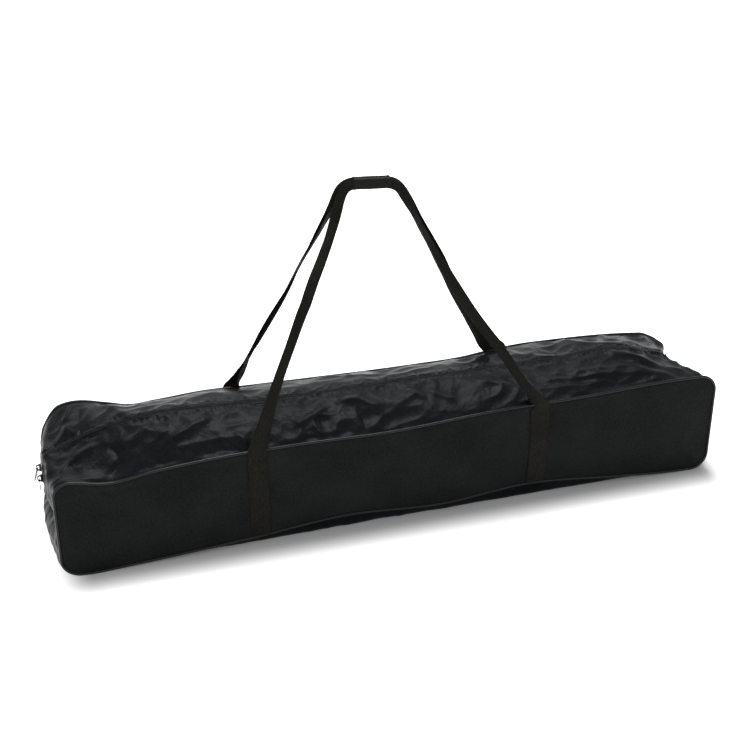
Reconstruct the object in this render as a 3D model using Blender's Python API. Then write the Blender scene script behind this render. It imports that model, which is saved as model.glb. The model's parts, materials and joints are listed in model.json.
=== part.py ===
"""Carry bag of a portable pickleball net, with the steel frame sections and the rolled net packed in it.

X runs along the bag, the front panel faces -Y and +Z is up. The origin lies on the floor, below the
middle of the bag. All sizes are in metres.
"""

import math

import bmesh
import bpy
from mathutils import Vector

# Packed tubes, and the room that the bag leaves round them
TUBE_RADIUS = 0.016
TUBE_WALL = 0.0012
TUBE_SPACE = 0.0015
RAILS_ON_FLOOR = 5
SIDE_ROOM = 0.0095
END_ROOM = 0.030
HEAD_ROOM = 0.028

# Bag body
BAG_LENGTH = 1.090
CORNER_RADIUS = 0.028
FABRIC = 0.0025
SEAM_GAP = 0.0003
PIPING_RADIUS = 0.0022
CROWN = 0.0275
CROWN_POWER = 1.8
END_SWELL = 0.008
FLOOR_RAMP = 0.012

# Top opening
FLAP_INSET = 0.012
HINGE_CLEARANCE = 0.0012
ZIP_HALF_WIDTH = 0.0034
ZIP_THICKNESS = 0.0022
ZIP_PROUD = 0.0004
ZIP_FOOT = 0.088

# Zip sliders and their pull tabs, on the left end
SLIDER_PARK = 0.042
SLIDER_SPACE = 0.008
SLIDER_LENGTH = 0.012
SLIDER_WIDTH = 0.0105
SLIDER_BODY = 0.0032
CROWN_LOOP_HEIGHT = 0.0054
CROWN_LOOP_WIDTH = 0.0040
CROWN_LOOP_WALL = 0.0016
TAB_LENGTH = 0.0250
TAB_THICKNESS = 0.0014
TAB_EYE_ROOM = 0.0010
TAB_SIDE = 0.0016
TAB_PLAY = 0.0006

# Handles
STRAP_WIDTH = 0.032
STRAP_THICKNESS = 0.0018
STRAP_SPACING = 0.467
PIVOT_DROP = 0.006
HANDLE_FOLD = 127.0
PIPING_PLAY = 0.0006
GRIP_HEIGHT = 0.563
GRIP_RISE = 0.0038
GRIP_LENGTH = 0.100
GRIP_STAND = 0.030
GRIP_OFFSET = -0.022
LEFT_LEG_BOW = -0.003
RIGHT_LEG_BOW = -0.024
FOLD_WIDTH = 0.0145
FOLD_THICKNESS = 0.0036
FOLD_SHARPNESS = 4
GRIP_BEND = 0.020
SLEEVE_SETBACK = 0.002
SLEEVE_WALL = 0.0012

# Frame sections
POST_SHORTER = 0.090
SPIGOT_PLAY = 0.0003
SPIGOT_LENGTH = 0.060
SPIGOT_SHOULDER = 0.004
BUTTON_RADIUS = 0.0032
BUTTON_RISE = 0.0032
BUTTON_TIP_RADIUS = 0.0019
BUTTON_FLANGE_STEP = 0.0016
BUTTON_FLANGE_THICKNESS = 0.0010
FOOT_END_SPACE = 0.030
CENTRE_FOOT_LENGTH = 0.300
SOCKET_HEIGHT = 0.060
SOCKET_FLOOR = 0.008
WALL_ROOM = 0.003
PLUG_HEAD = 0.003
PLUG_INSERT = 0.012
KNOB_NECK_RADIUS = 0.006
KNOB_NECK_LENGTH = 0.010
KNOB_LIP = 0.004
KNOB_THICKNESS = 0.005

# Rolled net
NET_SHORTER = 0.026
HEADBAND_WIDTH = 0.052
ROLL_ROOM = 0.0017
ROLL_CORE = 0.012
NET_LAYER = 0.0060
LAYER_GAP = 0.0010
TUCK_ANGLE = 120.0
TIE_WIDTH = 0.025
TIE_THICKNESS = 0.0020
TIE_SETBACK = 0.177

# Facets
TUBE_SIDES = 16
PIPING_SIDES = 8
ARC_STEPS = 6
DEPTH_STEPS = 8
LEG_STEPS = 14
BEND_STEPS = 5
ROLL_SIDES = 16
SHARP_ANGLE = 35.0

# Tube sizes and places in the pile. The bag is sewn to fit them: five rails lie side by side on its
# floor, and the upright socket of the highest foot stands below its crown.
TUBE_PITCH = 2 * TUBE_RADIUS + TUBE_SPACE
TUBE_STEP = math.sqrt((2 * TUBE_RADIUS + SEAM_GAP) ** 2 - (TUBE_PITCH / 2) ** 2)
FIRST_LAYER = FABRIC + SEAM_GAP + TUBE_RADIUS
SECOND_LAYER = FIRST_LAYER + TUBE_STEP
THIRD_LAYER = SECOND_LAYER + TUBE_STEP
BORE_RADIUS = TUBE_RADIUS - TUBE_WALL
SPIGOT_RADIUS = BORE_RADIUS - SPIGOT_PLAY
SPIGOT_BORE = SPIGOT_RADIUS - TUBE_WALL
RAIL_LENGTH = BAG_LENGTH - 2 * END_ROOM
POST_LENGTH = RAIL_LENGTH - POST_SHORTER
FOOT_LENGTH = (RAIL_LENGTH - FOOT_END_SPACE) / 2
NET_WIDTH = POST_LENGTH - NET_SHORTER
TIE_SPACING = NET_WIDTH - 2 * TIE_SETBACK
ROLL_RADIUS = 2 * TUBE_PITCH - TUBE_RADIUS - SEAM_GAP - TIE_THICKNESS - ROLL_ROOM

# Bag sizes that follow
BAG_DEPTH = (RAILS_ON_FLOOR - 1) * TUBE_PITCH + 2 * (TUBE_RADIUS + SIDE_ROOM + FABRIC)
SEAM_HEIGHT = THIRD_LAYER + TUBE_RADIUS + SOCKET_HEIGHT + HEAD_ROOM
HALF_LENGTH = BAG_LENGTH / 2
HALF_DEPTH = BAG_DEPTH / 2
EDGE = PIPING_RADIUS + SEAM_GAP
PANEL_FOOT = 2 * PIPING_RADIUS + 2 * SEAM_GAP
PIPING_Y = HALF_DEPTH - FABRIC / 2
SEAM_HALF = PIPING_Y - PIPING_RADIUS - SEAM_GAP
FLAP_HALF = SEAM_HALF - HINGE_CLEARANCE
FLAP_END = HALF_LENGTH - CORNER_RADIUS - FLAP_INSET
PIVOT_HEIGHT = SEAM_HEIGHT - PIVOT_DROP
SLEEVE_LENGTH = GRIP_LENGTH - 2 * (GRIP_BEND + SLEEVE_SETBACK)
SLEEVE_HEIGHT = FOLD_WIDTH + 2 * (SEAM_GAP + SLEEVE_WALL)
SLEEVE_DEPTH = FOLD_THICKNESS + 2 * (SEAM_GAP + SLEEVE_WALL)
LOWER_SLIDER_HEIGHT = ZIP_FOOT + SLIDER_PARK
UPPER_SLIDER_HEIGHT = LOWER_SLIDER_HEIGHT + SLIDER_LENGTH + SLIDER_SPACE
TAB_EYE_LENGTH = SLIDER_LENGTH / 2 + TAB_EYE_ROOM
BUTTON_FLANGE_RADIUS = BUTTON_RADIUS + BUTTON_FLANGE_STEP
KNOB_RADIUS = KNOB_NECK_RADIUS + KNOB_LIP


def clear_scene():
    for old in list(bpy.data.objects):
        bpy.data.objects.remove(old, do_unlink=True)


def make_material(name, colour, roughness, metallic=0.0):
    material = bpy.data.materials.new(name)
    material.use_nodes = True
    shader = material.node_tree.nodes["Principled BSDF"]
    shader.inputs["Base Color"].default_value = (*colour, 1.0)
    shader.inputs["Roughness"].default_value = roughness
    shader.inputs["Metallic"].default_value = metallic
    return material


def add_object(name, shape, material, origin=(0.0, 0.0, 0.0)):
    """Turns a bmesh in world coordinates into an object whose own origin lies at the given point."""
    bmesh.ops.translate(shape, verts=shape.verts, vec=-Vector(origin))
    mesh = bpy.data.meshes.new(name)
    shape.to_mesh(mesh)
    shape.free()
    mesh.shade_smooth()
    mesh.set_sharp_from_angle(angle=math.radians(SHARP_ANGLE))
    mesh.materials.append(material)
    made = bpy.data.objects.new(name, mesh)
    made.location = origin
    bpy.context.scene.collection.objects.link(made)
    return made


def loft(rings, closed=False):
    """Closed surface through rings of equally many points. The end rings are capped, unless the loft
    closes on itself."""
    shape = bmesh.new()
    loops = [[shape.verts.new(point) for point in ring] for ring in rings]
    count = len(loops[0])
    pairs = list(zip(loops, loops[1:]))
    if closed:
        pairs.append((loops[-1], loops[0]))
    else:
        shape.faces.new(loops[0])
        shape.faces.new(loops[-1])
    for near, far in pairs:
        for i in range(count):
            j = (i + 1) % count
            shape.faces.new((near[i], near[j], far[j], far[i]))
    bmesh.ops.recalc_face_normals(shape, faces=shape.faces)
    return shape


def turned(profile, centre, direction, sides=TUBE_SIDES, closed=False):
    """Solid of revolution. The profile holds (distance along the axis, radius) pairs from the centre."""
    axis = Vector(direction).normalized()
    across = axis.orthogonal().normalized()
    other = axis.cross(across)
    start = Vector(centre)
    rings = []
    for along, radius in profile:
        ring = []
        for k in range(sides):
            angle = 2 * math.pi * (k + 0.5) / sides
            arm = math.cos(angle) * across + math.sin(angle) * other
            ring.append(start + axis * along + arm * radius)
        rings.append(ring)
    return loft(rings, closed)


def box(low, high):
    """Rectangular block between two corners."""
    corners = [(low[0], low[1]), (high[0], low[1]), (high[0], high[1]), (low[0], high[1])]
    return loft([[Vector((x, y, z)) for x, y in corners] for z in (low[2], high[2])])


def hide_cutter(tool):
    tool.hide_render = True
    tool.hide_viewport = False
    tool.display_type = "WIRE"


def combine(target, tool, operation):
    """Adds an exact Boolean of the tool object to the target, and hides the tool."""
    modifier = target.modifiers.new(operation.lower() + "_" + tool.name, "BOOLEAN")
    modifier.operation = operation
    modifier.solver = "EXACT"
    modifier.object = tool
    hide_cutter(tool)


def bevel(target, width, segments=2):
    modifier = target.modifiers.new("rounded_edges", "BEVEL")
    modifier.width = width
    modifier.segments = segments
    modifier.limit_method = "ANGLE"


def thicken(target, thickness):
    """Gives a sheet its thickness, inwards from its outer face."""
    modifier = target.modifiers.new("fabric", "SOLIDIFY")
    modifier.thickness = thickness
    modifier.offset = -1.0


# The gusset: the band round the bag between the two pipings


def gusset_section(y, lift=0.0):
    """Half length, top and bottom of the band's outer face at a depth y, and its corner radius."""
    share = min(abs(y) / SEAM_HALF, 1.0)
    half = HALF_LENGTH + EDGE + END_SWELL * (1 - share**2) + lift
    top = SEAM_HEIGHT + EDGE + CROWN * (1 - share**CROWN_POWER) + lift
    rise = PANEL_FOOT - EDGE
    bottom = rise * (1 - min(1.0, (1 - share) * SEAM_HALF / FLOOR_RAMP))
    return half, top, bottom, CORNER_RADIUS + EDGE + lift


def gusset_point(station, y, lift=0.0):
    """Point of the band's outer face. A station is (stretch, side, value): x on the top and bottom, z on
    an end, and on a corner the angle from the level."""
    half, top, bottom, radius = gusset_section(y, lift)
    stretch, side, value = station
    if stretch == "top":
        return Vector((value, y, top))
    if stretch == "bottom":
        return Vector((value, y, bottom))
    if stretch == "end":
        return Vector((side * half, y, value))
    x = side * (half - radius + radius * math.cos(value))
    if stretch == "upper":
        return Vector((x, y, top - radius + radius * math.sin(value)))
    return Vector((x, y, bottom + radius - radius * math.sin(value)))


def corner(stretch, side):
    """Stations round one corner, from the end to the top or bottom."""
    return [(stretch, side, math.pi / 2 * k / ARC_STEPS) for k in range(ARC_STEPS + 1)]


def end_stations(end):
    """Stations of a piece of the end, up from the bottom part and round onto the top."""
    stations = [("end", end, ZIP_FOOT)] + corner("upper", end) + [("top", end, end * (FLAP_END + SEAM_GAP))]
    return stations if end < 0 else stations[::-1]


def gusset_piece(name, stations, depths, material, thickness=FABRIC, lift=0.0, origin=(0.0, 0.0, 0.0)):
    """Part of the band, as a sheet through the stations and depths with its thickness inwards."""
    shape = bmesh.new()
    rows = [[shape.verts.new(gusset_point(station, y, lift)) for y in depths] for station in stations]
    for near, far in zip(rows, rows[1:]):
        for j in range(len(depths) - 1):
            shape.faces.new((near[j], far[j], far[j + 1], near[j + 1]))
    made = add_object(name, shape, material, origin)
    thicken(made, thickness)
    return made


def depths_between(first, last):
    return [first + (last - first) * k / DEPTH_STEPS for k in range(DEPTH_STEPS + 1)]


def flap_hinge():
    """Distance from the bag's middle plane and height of the line that a flap turns about: the middle of
    the fabric at its seam."""
    step = SEAM_GAP
    slope = (gusset_section(FLAP_HALF - step)[1] - gusset_section(FLAP_HALF)[1]) / step
    length = math.hypot(slope, 1.0)
    inward = FABRIC / 2 * slope / length
    down = FABRIC / 2 / length
    return FLAP_HALF - inward, gusset_section(FLAP_HALF)[1] - down


def make_gusset(fabric, tape):
    """The band's pieces: the bottom, the ends either side of their zip, and the top flaps that open."""
    hinge_y, hinge_z = flap_hinge()
    zip_edge = ZIP_HALF_WIDTH + SEAM_GAP
    for side_name, side in (("front", -1), ("back", 1)):
        origin = (0.0, side * hinge_y, hinge_z)
        top = [("top", 1, -FLAP_END), ("top", 1, FLAP_END)]
        depths = sorted(side * y for y in depths_between(zip_edge, FLAP_HALF))
        gusset_piece(side_name + "_flap", top, depths, fabric, origin=origin)
        depths = sorted((side * SEAM_GAP / 2, side * ZIP_HALF_WIDTH))
        gusset_piece(side_name + "_zip_half", top, depths, tape, ZIP_THICKNESS, ZIP_PROUD, origin)
        for end_name, end in (("left", -1), ("right", 1)):
            depths = sorted(side * y for y in depths_between(zip_edge, SEAM_HALF))
            gusset_piece("_".join((end_name, "end", side_name, "strip")), end_stations(end), depths, fabric)
    for end_name, end in (("left", -1), ("right", 1)):
        depths = [-ZIP_HALF_WIDTH, ZIP_HALF_WIDTH]
        gusset_piece(end_name + "_end_zip", end_stations(end), depths, tape, ZIP_THICKNESS, ZIP_PROUD)
    foot = ZIP_FOOT - SEAM_GAP
    stations = [("end", 1, foot)] + corner("lower", 1) + [("bottom", 1, 0.0)]
    stations += corner("lower", -1)[::-1] + [("end", -1, foot)]
    flat = SEAM_HALF - FLOOR_RAMP
    depths = [-SEAM_HALF] + depths_between(-flat, flat) + [SEAM_HALF]
    gusset_piece("bottom_gusset", stations, depths, fabric)


# The two large panels, their piping and the straps sewn on them


def panel_outline(offset):
    """Rounded rectangle of the front panel's edge, moved outwards by the offset, as (x, z) points."""
    radius = CORNER_RADIUS + offset
    points = []
    for quarter, (side, level) in enumerate(((1, 1), (-1, 1), (-1, -1), (1, -1))):
        x = side * (HALF_LENGTH - CORNER_RADIUS)
        z = SEAM_HEIGHT - CORNER_RADIUS if level > 0 else PANEL_FOOT + CORNER_RADIUS
        for k in range(ARC_STEPS + 1):
            angle = math.pi / 2 * (quarter + k / ARC_STEPS)
            points.append((x + radius * math.cos(angle), z + radius * math.sin(angle)))
    return points


def make_panels(fabric, piping, webbing):
    """Each large panel with the piping round it and the two straps sewn down over it."""
    for side_name, side in (("front", -1), ("back", 1)):
        faces = (side * (HALF_DEPTH - FABRIC), side * HALF_DEPTH)
        rings = [[Vector((x, y, z)) for x, z in panel_outline(0.0)] for y in faces]
        add_object(side_name + "_panel", loft(rings), fabric)
        rings = []
        inner, outer = panel_outline(EDGE - PIPING_RADIUS), panel_outline(EDGE + PIPING_RADIUS)
        for (x0, z0), (x1, z1) in zip(inner, outer):
            ring = []
            for k in range(PIPING_SIDES):
                angle = 2 * math.pi * k / PIPING_SIDES
                out = (1 + math.cos(angle)) / 2
                y = side * (PIPING_Y + PIPING_RADIUS * math.sin(angle))
                ring.append(Vector((x0 + (x1 - x0) * out, y, z0 + (z1 - z0) * out)))
            rings.append(ring)
        add_object(side_name + "_piping", loft(rings, closed=True), piping)
        near = HALF_DEPTH + SEAM_GAP
        for end_name, end in (("left", -1), ("right", 1)):
            x = end * STRAP_SPACING / 2
            low_y, high_y = sorted((side * near, side * (near + STRAP_THICKNESS)))
            top = PIVOT_HEIGHT - fold_room() - SEAM_GAP
            block = box(
                (x - STRAP_WIDTH / 2, low_y, PANEL_FOOT + SEAM_GAP), (x + STRAP_WIDTH / 2, high_y, top)
            )
            made = add_object("_".join((side_name, "strap", end_name)), block, webbing)
            bevel(made, STRAP_THICKNESS / 4, 1)


# The handles


def lean(z):
    """Distance from the bag's middle plane of a handle's strap at height z: out over the piping, in to its
    twin, and straight up beside it at the grip. Also the slope of that line there."""
    beside = (SEAM_GAP + SLEEVE_DEPTH) / 2
    marks = [
        (PIVOT_HEIGHT, HALF_DEPTH + SEAM_GAP + STRAP_THICKNESS / 2),
        (SEAM_HEIGHT + EDGE, PIPING_Y + PIPING_RADIUS + PIPING_PLAY + STRAP_THICKNESS / 2),
        (GRIP_HEIGHT - GRIP_STAND, beside),
    ]
    if z >= marks[2][0]:
        return beside, 0.0
    low, high = (marks[0], marks[1]) if z < marks[1][0] else (marks[1], marks[2])
    slope = (high[1] - low[1]) / (high[0] - low[0])
    return low[1] + slope * (z - low[0]), slope


def fold_room():
    """How far below the pivot the sewn strap has to end for the folded leg to swing past its top edge. Both
    are as thick, so it is half a thickness times the tangent of half the angle that the leg turns to."""
    turned = math.radians(HANDLE_FOLD) + math.atan(lean(PIVOT_HEIGHT)[1])
    return STRAP_THICKNESS / 2 * math.tan(turned / 2)


def leg(side, grip_end, bow):
    """Points (x, z, share of the way up) of one leg, from its pivot to its end of the grip. It runs
    straight up to the piping's top and slants from there."""
    foot = (side * STRAP_SPACING / 2, PIVOT_HEIGHT)
    levels = [foot[1], foot[1] + STRAP_THICKNESS, SEAM_HEIGHT + EDGE]
    rise = grip_end[1] - foot[1]
    levels += [foot[1] + rise * k / LEG_STEPS for k in range(1, LEG_STEPS + 1)]
    points = []
    for z in levels:
        share = (z - foot[1]) / rise
        slant = max(0.0, (z - SEAM_HEIGHT - EDGE) / (grip_end[1] - SEAM_HEIGHT - EDGE))
        x = foot[0] + (grip_end[0] - foot[0]) * slant + bow * 4 * slant * (1 - slant)
        points.append((x, z, share))
    return points


def rounded_bend(points, index):
    """Replaces the sharp corner at the index by a curve that starts and ends one bend length away."""
    tip = Vector(points[index][:2])
    kept_before = [p for p in points[:index] if (Vector(p[:2]) - tip).length > GRIP_BEND]
    kept_after = [p for p in points[index + 1 :] if (Vector(p[:2]) - tip).length > GRIP_BEND]
    before = tip + (Vector(kept_before[-1][:2]) - tip).normalized() * GRIP_BEND
    after = tip + (Vector(kept_after[0][:2]) - tip).normalized() * GRIP_BEND
    curve = []
    for k in range(BEND_STEPS + 1):
        t = k / BEND_STEPS
        x, z = before * (1 - t) ** 2 + tip * (2 * t * (1 - t)) + after * t**2
        curve.append((x, z, 1.0))
    return kept_before + curve + kept_after


def grip_ends():
    """The two ends of the grip's straight line, (x, z), left and right."""
    return (
        (GRIP_OFFSET - GRIP_LENGTH / 2, GRIP_HEIGHT + GRIP_RISE),
        (GRIP_OFFSET + GRIP_LENGTH / 2, GRIP_HEIGHT - GRIP_RISE),
    )


def handle_route():
    """Points (x, z, share of the way up) of the whole strap, over both legs and the grip."""
    left, right = grip_ends()
    up = leg(-1, left, LEFT_LEG_BOW)
    down = leg(1, right, RIGHT_LEG_BOW)[::-1]
    points = rounded_bend(up + down, len(up))
    return rounded_bend(points, len(up) - 1)


def strap_ring(centre, tangent, normal, width, thickness):
    """Section of a flat strap with its long edges chamfered."""
    across = normal.cross(tangent).normalized()
    half, flat = width / 2, thickness / 2
    chamfer = flat / 2
    outline = [
        (half, -chamfer), (half, chamfer), (half - chamfer, flat), (chamfer - half, flat),
        (-half, chamfer), (-half, -chamfer), (chamfer - half, -flat), (half - chamfer, -flat),
    ]
    return [centre + across * a + normal * b for a, b in outline]


def make_handle(side_name, side, webbing, sleeve_fabric):
    """Strap from the left leg's pivot over the grip to the right one's. It is flat at its feet, folds in
    half lengthwise on its way up and is folded shut at the grip."""
    origin = (0.0, side * lean(PIVOT_HEIGHT)[0], PIVOT_HEIGHT)
    route = handle_route()
    places, normals = [], []
    for x, z, _ in route:
        y, slope = lean(z)
        places.append(Vector((x, side * y, z)))
        normals.append(Vector((0.0, side, -slope)).normalized())
    rings = []
    for i, (place, normal) in enumerate(zip(places, normals)):
        tangent = places[min(i + 1, len(places) - 1)] - places[max(i - 1, 0)]
        if route[i][1] <= SEAM_HEIGHT + EDGE:
            tangent = Vector((0.0, 0.0, tangent.z))
        tangent = (tangent - normal * tangent.dot(normal)).normalized()
        narrow = 1 - (1 - route[i][2]) ** FOLD_SHARPNESS
        width = STRAP_WIDTH + (FOLD_WIDTH - STRAP_WIDTH) * narrow
        thickness = STRAP_THICKNESS + (FOLD_THICKNESS - STRAP_THICKNESS) * narrow
        rings.append(strap_ring(place, tangent, normal, width, thickness))
    add_object(side_name + "_handle", loft(rings), webbing, origin)
    make_grip(side_name, side, sleeve_fabric, origin)


def make_grip(side_name, side, fabric, origin):
    """Sleeve round the folded strap at the top of the handle."""
    left, right = grip_ends()
    run = Vector((right[0] - left[0], 0.0, right[1] - left[1])).normalized()
    y, slope = lean(GRIP_HEIGHT)
    centre = Vector((GRIP_OFFSET, side * y, GRIP_HEIGHT))
    normal = Vector((0.0, side, -slope)).normalized()
    run = (run - normal * run.dot(normal)).normalized()
    rings = []
    for place, clear in ((-0.5, False), (0.5, False), (0.5, True), (-0.5, True)):
        width = FOLD_WIDTH + 2 * SEAM_GAP if clear else SLEEVE_HEIGHT
        depth = FOLD_THICKNESS + 2 * SEAM_GAP if clear else SLEEVE_DEPTH
        rings.append(strap_ring(centre + run * SLEEVE_LENGTH * place, run, normal, width, depth))
    add_object(side_name + "_grip", loft(rings, closed=True), fabric, origin)


# Zip sliders


def end_face():
    """Distance from the bag's middle to the outer face of the zip on its end."""
    return gusset_section(0.0, ZIP_PROUD)[0]


def tab_axis():
    """Distance of a pull tab's hinge line from the bag's middle: half way up the crown loop's window."""
    window = CROWN_LOOP_HEIGHT - CROWN_LOOP_WALL
    return end_face() + SEAM_GAP + SLIDER_BODY + window / 2


def resting_lean():
    """Angle at which the upper tab rests on the lower slider's crown loop."""
    window = CROWN_LOOP_HEIGHT - CROWN_LOOP_WALL
    peak = CROWN_LOOP_HEIGHT - window / 2
    reach = UPPER_SLIDER_HEIGHT - LOWER_SLIDER_HEIGHT - SLIDER_LENGTH / 2 + CROWN_LOOP_WALL / 2
    return math.atan((peak + 2 * SEAM_GAP + TAB_THICKNESS / 2) / reach)


def make_slider(name, height, metal):
    """Slider body with its crown loop, a bridge along the zip that the pull tab hangs in."""
    base = -(end_face() + SEAM_GAP)
    body_top = base - SLIDER_BODY
    half = SLIDER_LENGTH / 2
    block = box(
        (body_top, -SLIDER_WIDTH / 2, height - half), (base, SLIDER_WIDTH / 2, height + half)
    )
    origin = (base, 0.0, height)
    made = add_object(name, block, metal, origin)
    bevel(made, SLIDER_BODY / 4, 1)
    foot = SLIDER_BODY / 4
    outside = half - CROWN_LOOP_WALL / 2
    inside = outside - CROWN_LOOP_WALL
    peak = CROWN_LOOP_HEIGHT - CROWN_LOOP_WALL
    shoulder = CROWN_LOOP_WALL / 2
    arch = [
        (-outside, -foot), (-outside, CROWN_LOOP_HEIGHT - shoulder),
        (shoulder - outside, CROWN_LOOP_HEIGHT), (outside - shoulder, CROWN_LOOP_HEIGHT),
        (outside, CROWN_LOOP_HEIGHT - shoulder), (outside, -foot),
        (inside, -foot), (inside, peak), (-inside, peak), (-inside, -foot),
    ]
    rings = []
    for y in (-CROWN_LOOP_WIDTH / 2, CROWN_LOOP_WIDTH / 2):
        rings.append([Vector((body_top - out, y, height + along)) for along, out in arch])
    bridge = add_object(name + "_bridge", loft(rings), metal, origin)
    combine(made, bridge, "UNION")


def make_tab(name, height, lean_angle, metal):
    """Flat pull tab with a square eye round the crown loop. Its short bar lies on the hinge line."""
    axis = Vector((-tab_axis(), 0.0, height))
    out = Vector((-math.cos(lean_angle), 0.0, math.sin(lean_angle)))
    down = Vector((-math.sin(lean_angle), 0.0, -math.cos(lean_angle)))
    eye = CROWN_LOOP_WIDTH / 2 + TAB_PLAY
    half = eye + TAB_SIDE
    bar = TAB_THICKNESS / 2
    outer = [(-half, -bar), (half, -bar), (half, TAB_LENGTH), (-half, TAB_LENGTH)]
    inner = [(-eye, bar), (eye, bar), (eye, bar + TAB_EYE_LENGTH), (-eye, bar + TAB_EYE_LENGTH)]
    rings = []
    for outline, level in ((outer, -bar), (outer, bar), (inner, bar), (inner, -bar)):
        rings.append([axis + out * level + Vector((0.0, y, 0.0)) + down * run for y, run in outline])
    add_object(name, loft(rings, closed=True), metal, tuple(axis))


# Frame sections and the net, as they lie in the bag


def lattice(row, place):
    """Centre (y, z) of a tube in the packed pile: row 0 lies on the bag's floor, and each row sits in the
    hollows of the one below. Places count from the middle, in halves of the pitch."""
    return place * TUBE_PITCH / 2, (FIRST_LAYER, SECOND_LAYER, THIRD_LAYER)[row]


def make_section(name, length, y, z, steel, with_button_hole):
    """Steel tube with a socket at -X and, at +X, a reduced spigot that fits the next tube's socket."""
    start, end = -length / 2, length / 2
    neck = end - SPIGOT_LENGTH
    profile = [
        (start, TUBE_RADIUS), (neck - SPIGOT_SHOULDER, TUBE_RADIUS), (neck, SPIGOT_RADIUS),
        (end, SPIGOT_RADIUS), (end, SPIGOT_BORE), (neck, SPIGOT_BORE),
        (neck - SPIGOT_SHOULDER, BORE_RADIUS), (start, BORE_RADIUS),
    ]
    made = add_object(name, turned(profile, (0.0, y, z), (1, 0, 0), closed=True), steel)
    if with_button_hole:
        reach = [(SPIGOT_BORE / 2, BUTTON_RADIUS + SEAM_GAP), (TUBE_RADIUS, BUTTON_RADIUS + SEAM_GAP)]
        hole = turned(reach, (neck + SPIGOT_LENGTH / 2, y, z), (0, 0, 1), PIPING_SIDES)
        combine(made, add_object(name + "_button_hole", hole, steel), "DIFFERENCE")


def make_button(name, y, z, metal):
    """Spring button in the spigot's wall: a domed pin on a flange that stays inside the tube."""
    x = RAIL_LENGTH / 2 - SPIGOT_LENGTH / 2
    wall = math.sqrt(SPIGOT_BORE**2 - BUTTON_FLANGE_RADIUS**2) * math.cos(math.pi / TUBE_SIDES)
    flange = wall - SEAM_GAP
    tip = SPIGOT_RADIUS + BUTTON_RISE
    profile = [
        (flange - BUTTON_FLANGE_THICKNESS, BUTTON_FLANGE_RADIUS), (flange, BUTTON_FLANGE_RADIUS),
        (flange, BUTTON_RADIUS), (tip - BUTTON_TIP_RADIUS / 2, BUTTON_RADIUS), (tip, BUTTON_TIP_RADIUS),
    ]
    origin = (x, y, z + SPIGOT_RADIUS)
    add_object(name, turned(profile, (x, y, z), (0, 0, 1), PIPING_SIDES), metal, origin)


def make_foot(name, length, x, y, z, steel, rubber, with_spigot):
    """Floor foot: a tube with an upright socket for a post and, on an end foot, a spigot for the rails."""
    bar = [(-length / 2, TUBE_RADIUS), (length / 2, TUBE_RADIUS)]
    made = add_object(name, turned(bar, (x, y, z), (1, 0, 0)), steel)
    mouth = TUBE_RADIUS + SOCKET_HEIGHT
    post = [(0.0, TUBE_RADIUS), (mouth, TUBE_RADIUS)]
    combine(made, add_object(name + "_socket", turned(post, (x, y, z), (0, 0, 1)), steel), "UNION")
    if with_spigot:
        reach = HALF_DEPTH - FABRIC - WALL_ROOM - y
        pin = [(0.0, SPIGOT_RADIUS), (reach, SPIGOT_RADIUS)]
        combine(made, add_object(name + "_spigot", turned(pin, (x, y, z), (0, 1, 0)), steel), "UNION")
        hollow = [(TUBE_RADIUS + SOCKET_FLOOR, SPIGOT_BORE), (reach + TUBE_WALL, SPIGOT_BORE)]
        cutter = turned(hollow, (x, y, z), (0, 1, 0))
        combine(made, add_object(name + "_spigot_bore", cutter, steel), "DIFFERENCE")
    socket_bore = [(TUBE_RADIUS + SOCKET_FLOOR, BORE_RADIUS), (mouth + TUBE_WALL, BORE_RADIUS)]
    cutter = turned(socket_bore, (x, y, z), (0, 0, 1))
    combine(made, add_object(name + "_socket_bore", cutter, steel), "DIFFERENCE")
    through = [(-length / 2 - TUBE_WALL, BORE_RADIUS), (length / 2 + TUBE_WALL, BORE_RADIUS)]
    cutter = turned(through, (x, y, z), (1, 0, 0))
    combine(made, add_object(name + "_bar_bore", cutter, steel), "DIFFERENCE")
    for end_name, end in (("left", -1), ("right", 1)):
        make_plug(f"{name}_plug_{end_name}", x + end * length / 2, y, z, end, rubber)


def make_plug(name, x, y, z, end, rubber):
    """Push-in plug for an open tube end."""
    insert = BORE_RADIUS - SEAM_GAP
    profile = [
        (-PLUG_INSERT, insert), (SEAM_GAP, insert), (SEAM_GAP, TUBE_RADIUS),
        (SEAM_GAP + PLUG_HEAD / 2, TUBE_RADIUS), (SEAM_GAP + PLUG_HEAD, TUBE_RADIUS - PLUG_HEAD / 2),
    ]
    add_object(name, turned(profile, (x, y, z), (end, 0, 0)), rubber)


def make_knob_cap(name, x, y, z, plastic):
    """Plug for a post's top, with a waisted knob that the net's loop hangs on."""
    insert = BORE_RADIUS - SEAM_GAP
    head = SEAM_GAP + PLUG_HEAD
    neck = head + KNOB_NECK_LENGTH
    profile = [
        (-PLUG_INSERT, insert), (SEAM_GAP, insert), (SEAM_GAP, TUBE_RADIUS), (head, TUBE_RADIUS),
        (head, KNOB_NECK_RADIUS), (neck, KNOB_NECK_RADIUS), (neck, KNOB_RADIUS),
        (neck + KNOB_THICKNESS / 2, KNOB_RADIUS), (neck + KNOB_THICKNESS, KNOB_RADIUS / 2),
    ]
    add_object(name, turned(profile, (x, y, z), (-1, 0, 0)), plastic)


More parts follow.
